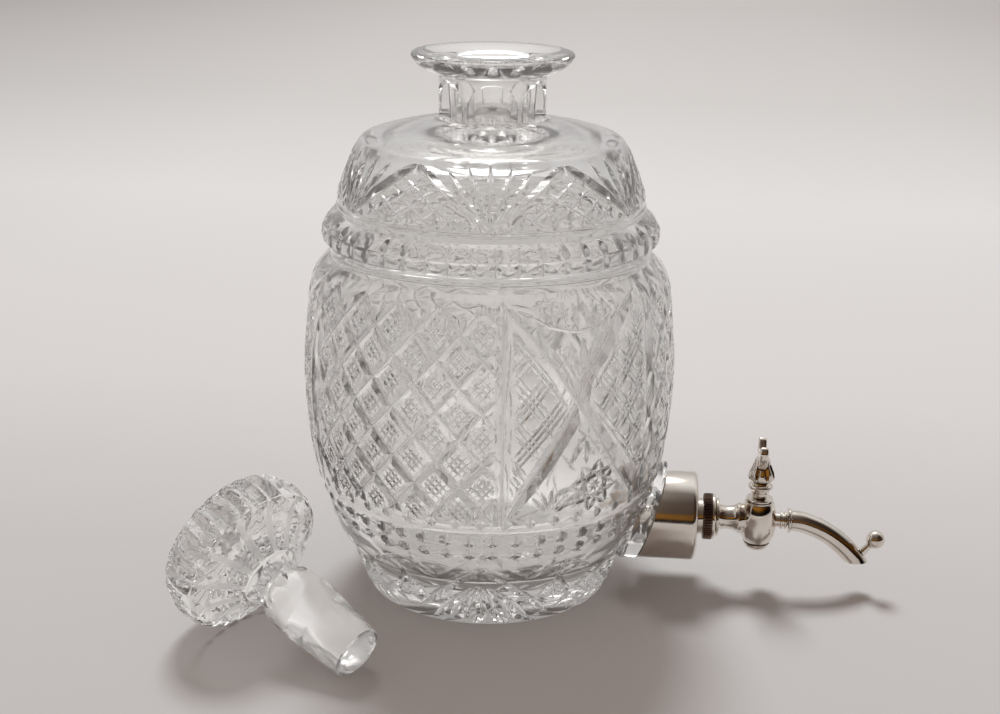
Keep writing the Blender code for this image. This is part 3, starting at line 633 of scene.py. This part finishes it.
# %% Bands
teeth = 48
half_tooth = 180 / teeth
for low, high in ((149.2, 154.4), (154.4, 159.6)):
    engrave("band_teeth", [[(0, low), (0, high)]], teeth, width=4.6, depth=1.5, taper=3.0,
            pace=1.2)
engrave("belly_teeth", [[(half_tooth, 51.4), (half_tooth, 57.0)]], teeth, width=4.4, depth=1.0,
        pace=1.4)
for low, high in ((36.6, 41.6), (42.6, 48.4)):
    engrave("cove_teeth", [[(0, low), (0, high)]], teeth, width=5.6, depth=1.5, taper=3.0,
            pace=1.2)

# %% [markdown]
# ## The shoulder
# A bold zigzag runs six times round the shoulder. A fan spreads over each of its lower points,
# and crossed lines hatch the fields between the fans.

# %% Shoulder
shoulder_low, shoulder_high = 164.5, 186.5
zigzags, point, half_point = 6, 5.6, 30
for sign in (1, -1):
    engrave("shoulder_zigzag",
            [[(point, shoulder_low), (point + sign * half_point, shoulder_high)]], zigzags,
            width=5.4, depth=1.8, taper=8.0, pace=2.0)
fan_low, fan_high, fan_spread = shoulder_low + 2, 188, 8.5
engrave_fan("shoulder_fan", [[(point + blade, fan_low),
                              (point + blade * fan_spread, fan_high - abs(blade))]
                             for blade in range(-2, 3)],
            count=zigzags, width=3.6, depth=1.1, pace=2.0)
hatch, hatch_turn, hatch_margin = 6, 10, 1.2
hatch_rise = (shoulder_high - shoulder_low) / hatch
hatch_low, hatch_high = shoulder_low + hatch_margin, shoulder_high - hatch_margin
for sign in (1, -1):
    engrave("shoulder_hatch", [
        [(point + half_point + sign * (hatch_turn * k - half_point + 1), hatch_low),
         (point + half_point + sign * (hatch_turn / 2 * k - 1), hatch_high - hatch_rise * k)]
        for k in range(1, hatch)], zigzags, width=2.4, depth=0.8, taper=6.0, pace=2.5)
report(barrel)

# %% [markdown]
# ## Foot and underside
# Long rays fan out down the foot below pairs of slanting cuts, six times round, and a star of
# 24 rays is cut into the base, where it glitters through the glass.

# %% Foot
foot_turn, foot_fans = 3.5, 6
between = foot_turn + 180 / foot_fans
engrave_fan("foot_rays", [[(foot_turn + spread * 0.12, 21.5), (foot_turn + spread, 2.5)]
                          for spread in range(-21, 22, 7)],
            count=foot_fans, width=4.4, depth=1.4, pace=2.5)
for sign in (1, -1):
    engrave("foot_chevrons", [[(foot_turn, 31.5), (foot_turn + sign * 28, 6.0)]], foot_fans,
            width=3.6, depth=1.3, taper=4.0, pace=2.5)
    engrave("foot_arches", [[(between, 33.5), (between + sign * 14, 25.0)],
                            [(between, 24.0), (between + sign * 9, 9.0)]], foot_fans,
            width=3.2, depth=1.0, pace=2.5)
engrave("foot_blades", [[(between, 30.0), (between, 12.0)]], foot_fans, width=4.0, depth=1.2,
        pace=2.5)

# %% Star under the base
base_rays, base_ray_start, base_ray_end = 24, 7.0, 46.0


def under(turn, radius):
    """Points and normals on the flat underside: turn in degrees, distance from the middle in mm."""
    angle = np.radians(turn)
    flat = np.zeros_like(angle)
    return (np.stack([radius * np.sin(angle), -radius * np.cos(angle), flat], -1),
            np.stack([flat, flat, flat - 1], -1))


wheel(barrel, "base_star", [
    cut_stick([(360 / base_rays * k, base_ray_start), (360 / base_rays * k, base_ray_end)],
              width=4.6, depth=1.6, taper=1.7, surface=under) for k in range(base_rays)])
report(barrel)
glass_crease = math.radians(22)
pick(barrel)
bpy.ops.object.shade_smooth_by_angle(angle=glass_crease)

# %% [markdown]
# ## The stopper
# The stopper is turned upright, cut, and only then laid on the table. Its head has notches all
# round its rim, a star and a ring of short rays on its flat face, and hollow petals underneath,
# which show the star through clear glass. Arched hollows run up its waist to the ground plug.

# %% Turn the stopper
stopper_line = (smoothed([(27.5, 0.0), (29.7, -0.9), (31.5, -4.0), (32.6, -8.0), (32.8, -11.4),
                          (32.5, -15.0), (31.2, -17.9), (29.5, -18.8)])
                + smoothed([(23.9, -20.8), (17.4, -24.5), (12.8, -28.4), (10.7, -32.2),
                            (10.4, -35.7), (11.9, -38.1), (12.6, -40.0)], steps=3)
                + [(12.8, -45.0), (12.9, -50.5), (12.7, -51.1), (11.7, -64.0), (10.6, -77.1),
                   (10.0, -77.7)])
stopper = turned("crystal_stopper", stopper_line, 96)
stopper_wall = np.array(stopper_line[::-1])


def on_stopper(turn, height):
    """Points and normals on the side of the upright stopper."""
    return lathe_place(stopper_wall, turn, height)


def on_face(turn, radius):
    """Points and normals on the flat face of the stopper's head."""
    points, normals = under(turn, radius)
    return points, -normals


def engrave_stopper(name, path, count, surface, start=0, **sizes):
    """Cut a path into the stopper, repeated so many times round it from a start in degrees."""
    wheel(stopper, name, [
        cut_stick([(turn + start + 360 / count * number, place) for turn, place in path],
                  surface=surface, **sizes) for number in range(count)])


engrave_stopper("rim_notches", [(0, 0.9), (0, -19.2)], 26, on_stopper, width=7.6, depth=2.9,
                taper=12.0)
for start in (0, 45):
    engrave_stopper("face_star", [(0, 1.8), (0, 17.5)], 4, on_face, start, width=6.2, depth=1.9)
    engrave_stopper("face_star_between", [(22.5, 5.0), (22.5, 15.0)], 4, on_face, start, width=3.4,
                    depth=1.0)
for start in (0, 11.25):
    engrave_stopper("face_fans", [(0, 18.0), (0, 26.8)], 16, on_face, start, width=5.0, depth=1.6)
petal = [(0, height) for height in (-18.4, -20.0, -22.0, -25.0, -28.5)]
engrave_stopper("petals", petal, 12, on_stopper, width=10.0, depth=1.0, edge=round_edge, pace=2.0)
engrave_stopper("waist_arches", [(0, -29.5), (0, -42.5)], 8, on_stopper, start=10, width=7.9,
                depth=1.0, edge=round_edge, pace=1.5)
report(stopper)

# %% Lay the stopper on the table
stopper_tilt, stopper_yaw = 19.401 - 90, -33.1
stopper_place = (-99.667 * mm, -56.159 * mm, 35.6095 * mm)
laid_down = (Matrix.Translation(stopper_place)
             @ Matrix.Rotation(math.radians(stopper_yaw), 4, "Z")
             @ Matrix.Rotation(math.radians(stopper_tilt), 4, "Y"))
stopper.matrix_world = laid_down
apply_place(stopper)
pick(stopper)
bpy.ops.object.shade_smooth_by_angle(angle=glass_crease)
stopper_low, stopper_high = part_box("stopper")
print("CAD stopper box", [round(v / mm, 1) for v in stopper_high - stopper_low])

# %% [markdown]
# ## The tap
# The tap's CAD pieces have the right outlines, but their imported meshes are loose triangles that
# shade as flats. Each is copied, its corners are welded, and it is shaded smooth. The copies that
# need more form are then cut like the glass: a knurled union and a bud of petals. The wings get
# their roundness from a new mesh of small even faces, swollen a little and then relaxed.

# %% Weld and smooth the CAD's pieces
weld_distance = 0.001 * mm


def welded(node, name, angle=35.0):
    """A welded copy of a CAD node, shaded smooth, that stands for it and rides with it."""
    source = frame["nodes"][node]
    copy = bpy.data.objects.new(name, source.data.copy())
    copy.data.name = name
    bpy.context.scene.collection.objects.link(copy)
    pick(copy)
    edit_all()
    bpy.ops.mesh.remove_doubles(threshold=weld_distance)
    bpy.ops.mesh.customdata_custom_splitnormals_clear()
    bpy.ops.object.mode_set(mode="OBJECT")
    bpy.ops.object.shade_smooth_by_angle(angle=math.radians(angle))
    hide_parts(node)
    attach(copy, body_of(source)[0])
    report(copy)
    return copy


collar = welded("silver_collar", "bright_collar")
horn = welded("tap_body", "bright_tap_body", angle=50.0)
plug = welded("tap_plug", "bright_plug")
plug_nut = welded("plug_nut", "bright_plug_nut")
spout = welded("spout", "bright_spout", angle=50.0)
spout_ball = welded("spout_ball", "bright_spout_ball", angle=50.0)
outlet_ring = welded("outlet_ring", "bright_outlet_ring")
nipple = welded("threaded_nipple", "bright_nipple")
pipe = welded("inlet_pipe", "bright_pipe")
stem = welded("key_stem", "bright_key_stem", angle=50.0)

# %% Knurl the union ring
knurls, knurl_overrun, union_flange = 52, 0.3, 1.1
union = welded("union_ring", "knurled_union")
union_low, union_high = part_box("union_ring")
union_radius = (union_high[2] - union_low[2]) / 2 / mm
tap_line = (union_high[2] + union_low[2]) / 2 / mm
knurl_start, knurl_end = union_low[0] / mm - knurl_overrun, union_high[0] / mm - union_flange


def on_union(turn, along):
    """Points and normals round the union ring: turn in degrees, place along the tap in mm."""
    angle = np.radians(turn)
    none = np.zeros_like(angle)
    out = np.stack([none, np.sin(angle), np.cos(angle)], -1)
    return out * union_radius + np.stack([along, none, none + tap_line], -1), out


# The ring's long faces are parted first, so that its flange can stay bright.
pick(union)
edit_all()
bpy.ops.mesh.bisect(plane_co=(knurl_end * mm, 0, 0), plane_no=(1, 0, 0))
bpy.ops.object.mode_set(mode="OBJECT")
wheel(union, "knurl", [
    cut_stick([(360 / knurls * number, knurl_start), (360 / knurls * number, knurl_end)],
              width=0.85, depth=0.55, taper=12.0, surface=on_union) for number in range(knurls)])
report(union)

# %% Cut petals round the bud
bud = welded("key_bud", "petalled_bud", angle=50.0)
bud_low, bud_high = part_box("key_bud")
plug_line = (bud_low[0] + bud_high[0]) / 2 / mm
bud_foot, bud_top = bud_low[2] / mm, bud_high[2] / mm
bud_wall = np.array([(3.6, bud_foot), (5.4, bud_foot + 1.4), (5.6, bud_foot + 2.2),
                     (5.2, bud_foot + 4.2), (3.8, bud_foot + 7.5), (3.0, bud_top)])
petal_low, petal_high = bud_foot + 1.2, bud_top + 0.5


def on_bud(turn, height):
    """Points and normals on the bud, which stands on the plug's axis."""
    points, normals = lathe_place(bud_wall, turn, height)
    return points + np.array([plug_line, 0, 0]), normals


wheel(bud, "petals", [
    cut_stick([(turn, petal_low), (turn, petal_high)], width=2.6, depth=0.9, taper=3.0,
              surface=on_bud, pace=1.0) for turn in np.arange(22.5, 360, 45)])
report(bud)

# %% Round the wings
wing_grain, wing_swell, wing_strokes = 0.22 * mm, 0.35 * mm, 14
wings = welded("key_wings", "round_wings", angle=60.0)
pick(wings)
remesh = wings.modifiers.new("rounder", "REMESH")
remesh.mode = "VOXEL"
remesh.voxel_size = wing_grain
swell = wings.modifiers.new("swell", "DISPLACE")
swell.mid_level = 0.0
swell.strength = wing_swell
relax = wings.modifiers.new("relax", "SMOOTH")
relax.factor = 0.5
relax.iterations = wing_strokes
for modifier in ("rounder", "swell", "relax"):
    bpy.ops.object.modifier_apply(modifier=modifier)
bpy.ops.object.shade_smooth()
report(wings)

# %% [markdown]
# ## Finishes
# A finish is a small graph of nodes. The helpers each add a node or two and hand back the socket
# that the next one reads. Noise reads Object coordinates, so its grain stays on the piece.

# %% Helpers for finishes
def new_material(name):
    material = bpy.data.materials.new(name)
    material.use_nodes = True
    return material, material.node_tree


def fill(tree, socket, value):
    """Put a number or a colour in a socket, or link another socket to it."""
    if isinstance(value, bpy.types.NodeSocket):
        tree.links.new(value, socket)
    else:
        socket.default_value = value


def node_of(tree, kind, inputs, output=0):
    """Add a node, fill its inputs, and hand back one of its outputs."""
    node = tree.nodes.new("ShaderNode" + kind)
    for name, value in inputs.items():
        fill(tree, node.inputs[name], value)
    return node.outputs[output]


def set_shader(tree, inputs):
    """Fill inputs of a material's own Principled shader."""
    for name, value in inputs.items():
        fill(tree, tree.nodes["Principled BSDF"].inputs[name], value)


def noise_of(tree, scale, detail=2.0):
    """A noise that sits still on the piece, because it reads Object coordinates."""
    place = node_of(tree, "TexCoord", {}, "Object")
    return node_of(tree, "TexNoise", {"Vector": place, "Scale": scale, "Detail": detail}, "Fac")


def bump_of(tree, height, strength, distance):
    """A normal by which a grey value raises the surface by so many metres."""
    return node_of(tree, "Bump", {"Height": height, "Strength": strength, "Distance": distance},
                   "Normal")


def ramp_of(tree, factor, stops):
    """A run of colours along a factor, from stops of (place, colour)."""
    ramp = tree.nodes.new("ShaderNodeValToRGB")
    elements = ramp.color_ramp.elements
    while len(elements) < len(stops):
        elements.new(0.5)
    for element, (place, colour) in zip(elements, stops):
        element.position = place
        element.color = (*colour, 1)
    fill(tree, ramp.inputs["Fac"], factor)
    return ramp.outputs["Color"]


def spread_of(tree, value, least, most, low=0.0, high=1.0):
    """Carry the stretch of a value from least to most over to the stretch from low to high."""
    return node_of(tree, "MapRange", {"Value": value, "From Min": least, "From Max": most,
                                      "To Min": low, "To Max": high}, "Result")


def dress(piece, material):
    """Give a piece one material all over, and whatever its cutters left."""
    piece.data.materials.clear()
    piece.data.materials.append(material)
    for face in piece.data.polygons:
        face.material_index = 0


def dress_part(piece, material, belongs):
    """Give a second material to the faces that pass a test."""
    piece.data.materials.append(material)
    part = [face for face in piece.data.polygons if belongs(face)]
    for face in part:
        face.material_index = 1
    print(len(part), "faces of", piece.name, "in", material.name)

# %% [markdown]
# ## Crystal
# Lead crystal is clear, bends light strongly and is polished, so a Principled shader with nearly
# full transmission does the work, and a faint ripple keeps the polish from looking like plastic.
# A lamp can't shine through such a shader, so for shadow rays alone it gives way to a slightly
# grey Transparent one: the floor then keeps a soft shadow, not a black one. The polish is poorer
# down in the cuts. The cutters' UV map says where that is, and there the crystal grows rough,
# which draws each valley as a fine pale line. The inner wall is a little clouded, so that the
# pattern on the far side doesn't muddle the near one. The stopper's plug is ground, to seal.

# %% Crystal
crystal_tint, crystal_bend = (1.0, 0.998, 0.992, 1), 1.545
ripple_scale, ripple_strength, ripple_height = 260.0, 0.03, 0.0004
valley_roughness = 0.5


def frosted(tree, start):
    """A roughness that grows where the cutters' UV map has passed a start, down in the cuts."""
    depths = tree.nodes.new("ShaderNodeUVMap")
    depths.uv_map = "UVMap"
    depth = node_of(tree, "SeparateXYZ", {0: depths.outputs[0]}, "Y")
    return spread_of(tree, depth, start, (1 + start) / 2, high=valley_roughness)


def make_crystal(name, shadow, roughness=0.0, clear=0.94, frost_start=None):
    """Crystal of an even roughness, or polished with frosted valleys where they have a start."""
    material, tree = new_material(name)
    ripple = noise_of(tree, ripple_scale)
    set_shader(tree, {"Base Color": crystal_tint, "Roughness": roughness, "IOR": crystal_bend,
                      "Transmission Weight": clear,
                      "Normal": bump_of(tree, ripple, ripple_strength, ripple_height)})
    if frost_start is not None:
        set_shader(tree, {"Roughness": frosted(tree, frost_start)})
    shade = node_of(tree, "BsdfTransparent", {"Color": (*shadow, 1)})
    glass = node_of(tree, "MixShader", {0: node_of(tree, "LightPath", {}, "Is Shadow Ray"),
                                        1: tree.nodes["Principled BSDF"].outputs[0], 2: shade})
    fill(tree, tree.nodes["Material Output"].inputs["Surface"], glass)
    return material


barrel_shadow = (0.66, 0.645, 0.635)
crystal = make_crystal("crystal", barrel_shadow, frost_start=0.80)
stopper_crystal = make_crystal("stopper_crystal", (0.60, 0.585, 0.575), frost_start=0.91)
clouded_crystal = make_crystal("clouded_crystal", barrel_shadow, roughness=0.075, clear=0.93)
ground_crystal = make_crystal("ground_crystal", (0.62, 0.605, 0.595), roughness=0.10, clear=0.95)

# %% Dress the barrel and the stopper
cavity_low, cavity_high, bore_radius = 13.0, 192.0, 14.0
cavity_floor, cavity_roof = 20.0, 170.0
plug_start = -43.5


def in_cavity(face):
    """Whether a face of the barrel is on the inner wall, its floor or its roof, or in the bore."""
    middle = face.center / mm
    from_axis = middle.to_2d().length
    out = (middle.x * face.normal.x + middle.y * face.normal.y) / max(from_axis, 0.1)
    on_floor = abs(face.normal.z) > 0.9 and middle.z < cavity_floor
    on_roof = face.normal.z < -0.8 and middle.z > cavity_roof
    return (cavity_low < middle.z < cavity_high
            and (out < -0.2 or from_axis < bore_radius or on_floor or on_roof))


def on_plug(face):
    """Whether a face of the stopper, stood upright again, is on its plug."""
    return (laid_down.inverted() @ face.center).z < plug_start * mm


dress(barrel, crystal)
dress_part(barrel, clouded_crystal, in_cavity)
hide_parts("glass_barrel")
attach(barrel, "barrel")
dress(stopper, stopper_crystal)
dress_part(stopper, ground_crystal, on_plug)
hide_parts("stopper")
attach(stopper, "stopper")

# %% [markdown]
# ## Silver
# The tap is silver plate: bright where it is rubbed, a little brown where it isn't. A broad noise
# moves the colour between the two, and a fine one roughens the shine with polishing marks. The
# collar has a satin finish, and the knurled union has gone dark.

# %% Silver plate
tarnish_scale, rubbing_scale, scratch_scale = 120.0, 700.0, 1400.0
least_rubbed, most_rubbed, scratch_depth = 0.7, 1.4, 0.00005


def make_silver(name, bright, worn, roughness, marks):
    """Plate of two tones with an uneven shine and fine polishing marks."""
    material, tree = new_material(name)
    tarnish = noise_of(tree, tarnish_scale, detail=4.0)
    rubbing = noise_of(tree, rubbing_scale, detail=3.0)
    scratches = noise_of(tree, scratch_scale, detail=3.0)
    set_shader(tree, {
        "Metallic": 1.0, "Base Color": ramp_of(tree, tarnish, [(0.35, worn), (0.62, bright)]),
        "Roughness": spread_of(tree, rubbing, 0.0, 1.0, roughness * least_rubbed,
                               roughness * most_rubbed),
        "Normal": bump_of(tree, scratches, marks, scratch_depth)})
    return material


rubbed_tone = (0.84, 0.79, 0.73)
silver = make_silver("silver_plate", rubbed_tone, (0.74, 0.67, 0.60), roughness=0.07, marks=0.05)
satin_silver = make_silver("satin_silver", rubbed_tone, (0.78, 0.72, 0.66), roughness=0.12,
                           marks=0.06)
dark_silver = make_silver("dark_silver", (0.20, 0.13, 0.10), (0.08, 0.05, 0.04), roughness=0.3,
                          marks=0.15)
for piece in (horn, plug, plug_nut, spout, spout_ball, outlet_ring, nipple, pipe, stem, bud, wings):
    dress(piece, silver)
dress(collar, satin_silver)
dress(union, dark_silver)
dress_part(union, silver, lambda face: face.center.x > (knurl_end + 0.1) * mm)

# %% [markdown]
# ## Plaster, cork and leather
# Inside the collar the pipe is set in plaster and passes the glass in a cork sleeve. Two leather
# washers seal the tap. They hardly show, but each has its own grain.

# %% Plaster, cork and leather
grain_height = 0.0003


def make_matt(name, stops, scale, bump, roughness):
    """A matt stuff whose grain both colours and roughens it."""
    material, tree = new_material(name)
    grain = noise_of(tree, scale, detail=6.0)
    set_shader(tree, {"Base Color": ramp_of(tree, grain, stops), "Roughness": roughness,
                      "Normal": bump_of(tree, grain, bump, grain_height)})
    return material


plaster = make_matt("plaster", [(0.3, (0.50, 0.46, 0.40)), (0.7, (0.68, 0.64, 0.58))],
                    scale=500.0, bump=0.4, roughness=0.9)
cork = make_matt("cork", [(0.38, (0.20, 0.11, 0.05)), (0.52, (0.52, 0.36, 0.21)),
                          (0.8, (0.66, 0.48, 0.30))], scale=420.0, bump=0.6, roughness=0.85)
leather = make_matt("leather", [(0.3, (0.06, 0.035, 0.02)), (0.7, (0.17, 0.10, 0.06))],
                    scale=900.0, bump=0.5, roughness=0.6)
for node, material in (("plaster_bed", plaster), ("cork_sleeve", cork), ("face_washer", leather),
                       ("plug_washer", leather)):
    piece = frame["nodes"][node]
    piece.data.materials.clear()
    piece.data.materials.append(material)

# %% [markdown]
# ## The studio
# The object stands on a pale floor whose colour holds painted light: a painted pool of light just
# behind it, a painted darker band just in front of it, and painted falloff far off and towards the
# sides. A soft lamp as far off as the sun hangs behind and above it, so shadows fall towards the
# camera. Glass and silver show the whole room, so the room answers by the kind of ray that looks.
# What mirrors it, the metal above all, finds a dim warm front, with a dark skirting and a strip of
# amber light, which draws the brown bands along the silver. All other rays find it plain and pale.
# The lamp is hidden from mirrors and from rays through glass, since there it would throw hard
# bright flecks on the floor.
# A dimmer round window stands for it, and only rays that haven't left a matt surface see it.
# Near the barrel, rays through the glass also find the floor lit a little from itself. That
# stands for light that thick crystal gathers and a plain render loses.

# %% Helpers for light
def blended(tree, factor, first, second, way="MIX"):
    """Two colours, blended by a factor."""
    blend = tree.nodes.new("ShaderNodeMix")
    blend.data_type = "RGBA"
    blend.blend_type = way
    for socket, value in ((0, factor), (6, first), (7, second)):
        fill(tree, blend.inputs[socket], value)
    return blend.outputs[2]


def maths(tree, way, *values):
    """A sum, a product or the like of one or two values."""
    step = tree.nodes.new("ShaderNodeMath")
    step.operation = way
    for socket, value in zip(step.inputs, values):
        fill(tree, socket, value)
    return step.outputs[0]


def lit_once(tree, ray, kind, amount):
    """An amount for one kind of ray, and none once it has left a matt surface."""
    fresh = maths(tree, "LESS_THAN", ray["Diffuse Depth"], 0.5)
    return maths(tree, "MULTIPLY", maths(tree, "MULTIPLY", fresh, amount), ray[kind])

# %% Floor
# Lengths in metres. The tones are stops of (place, colour), and they are painted light: the depth
# stops paint a darker band in front of the object, a pool of light behind it and a falloff far
# off, and the side stops paint a falloff towards the sides.
floor_radius, floor_front, floor_back, floor_side = 20.0, -1.4, 2.8, 1.3
# Painted light along the floor: a painted darker band about 0.3 m in front of the object, a painted
# pool of light about 0.7 m behind it, and painted falloff beyond.
painted_light_depth_stops = [
    (0.00, (0.68, 0.665, 0.655)), (0.14, (0.66, 0.645, 0.635)), (0.265, (0.50, 0.48, 0.47)),
    (0.333, (0.575, 0.555, 0.545)), (0.386, (0.69, 0.67, 0.66)), (0.507, (0.76, 0.75, 0.74)),
    (0.65, (0.66, 0.645, 0.63)), (0.96, (0.585, 0.56, 0.55))]
# Painted falloff: the floor's colour darkens towards the sides.
painted_falloff_side_stops = [(0.0, (1.0, 1.0, 1.0)), (0.3, (0.97, 0.97, 0.97)), (1.0, (0.72, 0.72, 0.72))]
glow_edge, glow_full, glow_strength, glow_tone = 0.14, 0.07, 0.50, (0.72, 0.71, 0.70, 1.0)
deselect_all()
bpy.ops.mesh.primitive_circle_add(vertices=96, radius=floor_radius, fill_type="NGON")
floor = started("floor")
apply_place(floor)
floor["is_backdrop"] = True
floor_paint, tree = new_material("floor_paint")
place = node_of(tree, "TexCoord", {}, "Object")
across, away = (node_of(tree, "SeparateXYZ", {0: place}, axis) for axis in "XY")
aside = spread_of(tree, maths(tree, "ABSOLUTE", across), 0.0, floor_side)
painted_light_depth_tone = ramp_of(tree, spread_of(tree, away, floor_front, floor_back), painted_light_depth_stops)
painted_falloff_side_tone = ramp_of(tree, aside, painted_falloff_side_stops)
middle = tree.nodes.new("ShaderNodeVectorMath")
middle.operation = "LENGTH"
fill(tree, middle.inputs[0], place)
near = spread_of(tree, middle.outputs["Value"], glow_edge, glow_full)
ray = tree.nodes.new("ShaderNodeLightPath").outputs
through_glass = lit_once(tree, ray, "Is Transmission Ray", glow_strength)
# The floor's base colour is the painted pool of light times the painted falloff at the sides.
set_shader(tree, {
    "Base Color": blended(tree, 1.0, painted_light_depth_tone, painted_falloff_side_tone, "MULTIPLY"), "Roughness": 0.9,
    "Specular IOR Level": 0.1, "Emission Color": glow_tone,
    "Emission Strength": maths(tree, "MULTIPLY", near, through_glass)})
floor.data.materials.append(floor_paint)
print("floor", 2 * floor_radius, "m across")

# %% Room
# Front and back are stops of (height, colour), from straight down at 0 to straight up at 1.
front_tones = [
    (0.00, (0.010, 0.006, 0.005)), (0.14, (0.014, 0.008, 0.006)), (0.20, (0.26, 0.12, 0.018)),
    (0.36, (0.24, 0.115, 0.02)), (0.42, (0.10, 0.072, 0.052)), (0.80, (0.135, 0.105, 0.088)),
    (1.00, (0.30, 0.28, 0.265))]
back_tones = [(0.00, (0.50, 0.485, 0.475)), (0.4, (0.58, 0.57, 0.56)), (1.0, (0.95, 0.94, 0.93))]
right_tones = [(0.0, (1.0, 1.0, 1.0)), (0.4, (0.9, 0.88, 0.86)), (1.0, (0.26, 0.22, 0.20))]
right_start, right_end, back_start, back_end = -0.4, 0.6, -0.15, 0.35
ambient_tone = (0.385, 0.325, 0.295, 1.0)
room = bpy.data.worlds.new("room")
bpy.context.scene.world = room
room.use_nodes = True
tree = room.node_tree
sight = node_of(tree, "TexCoord", {}, "Generated")
across, away, up = (node_of(tree, "SeparateXYZ", {0: sight}, axis) for axis in "XYZ")
rightward = spread_of(tree, across, right_start, right_end)
backward = spread_of(tree, away, back_start, back_end)
dim_front = blended(tree, 1.0, ramp_of(tree, up, front_tones),
                    ramp_of(tree, rightward, right_tones), "MULTIPLY")
pale_back = ramp_of(tree, up, back_tones)
mirrored = blended(tree, backward, dim_front, pale_back)
ray = tree.nodes.new("ShaderNodeLightPath").outputs
in_mirror = maths(tree, "MULTIPLY", ray["Is Glossy Ray"], ray["Is Reflection Ray"])
seen = blended(tree, in_mirror, pale_back, mirrored)
fill(tree, tree.nodes["Background"].inputs["Color"],
     blended(tree, ray["Diffuse Depth"], seen, ambient_tone))
print("room of", len(front_tones), "tones in front and", len(back_tones), "behind")

# %% Window
# The window is seen where the way to it and the sight line agree, as the dot product says.
lamp_way = Vector((-0.20, 0.84, 1.27)).normalized()
window_edge, window_full = 0.955, 0.985
window_strength, window_tone = 6.5, (1.0, 0.985, 0.97, 1)
through_share, mirrored_share = 1.0, 0.38
toward = tree.nodes.new("ShaderNodeVectorMath")
toward.operation = "DOT_PRODUCT"
fill(tree, toward.inputs[0], sight)
fill(tree, toward.inputs[1], lamp_way)
patch = spread_of(tree, toward.outputs["Value"], window_edge, window_full)
share_seen = maths(tree, "ADD", lit_once(tree, ray, "Is Transmission Ray", through_share),
                   lit_once(tree, ray, "Is Reflection Ray", mirrored_share))
window = node_of(tree, "Background", {"Color": window_tone, "Strength": window_strength})
view = node_of(tree, "MixShader", {0: maths(tree, "MULTIPLY", patch, share_seen),
                                   1: tree.nodes["Background"].outputs[0], 2: window})
fill(tree, tree.nodes["World Output"].inputs["Surface"], view)
print("window toward", [round(value, 3) for value in lamp_way])

# %% Lamp
lamp_width, lamp_strength, lamp_tone = 17, 2.5, (0.95, 1.0, 1.03)
lamp_data = bpy.data.lights.new("key", "SUN")
lamp_data.angle = math.radians(lamp_width)
lamp_data.energy = lamp_strength
lamp_data.color = lamp_tone
lamp = bpy.data.objects.new("key", lamp_data)
bpy.context.scene.collection.objects.link(lamp)
lamp.rotation_euler = lamp_way.to_track_quat("Z", "Y").to_euler()
lamp.visible_transmission = False
lamp.visible_glossy = False
bpy.context.scene.view_settings.view_transform = "Standard"
print("lamp", lamp_strength, "W/m2,", lamp_width, "degrees wide")

# %% Print the size of the visual box
low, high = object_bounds()
print("visual box", [round(side / mm, 1) for side in high - low], "mm")
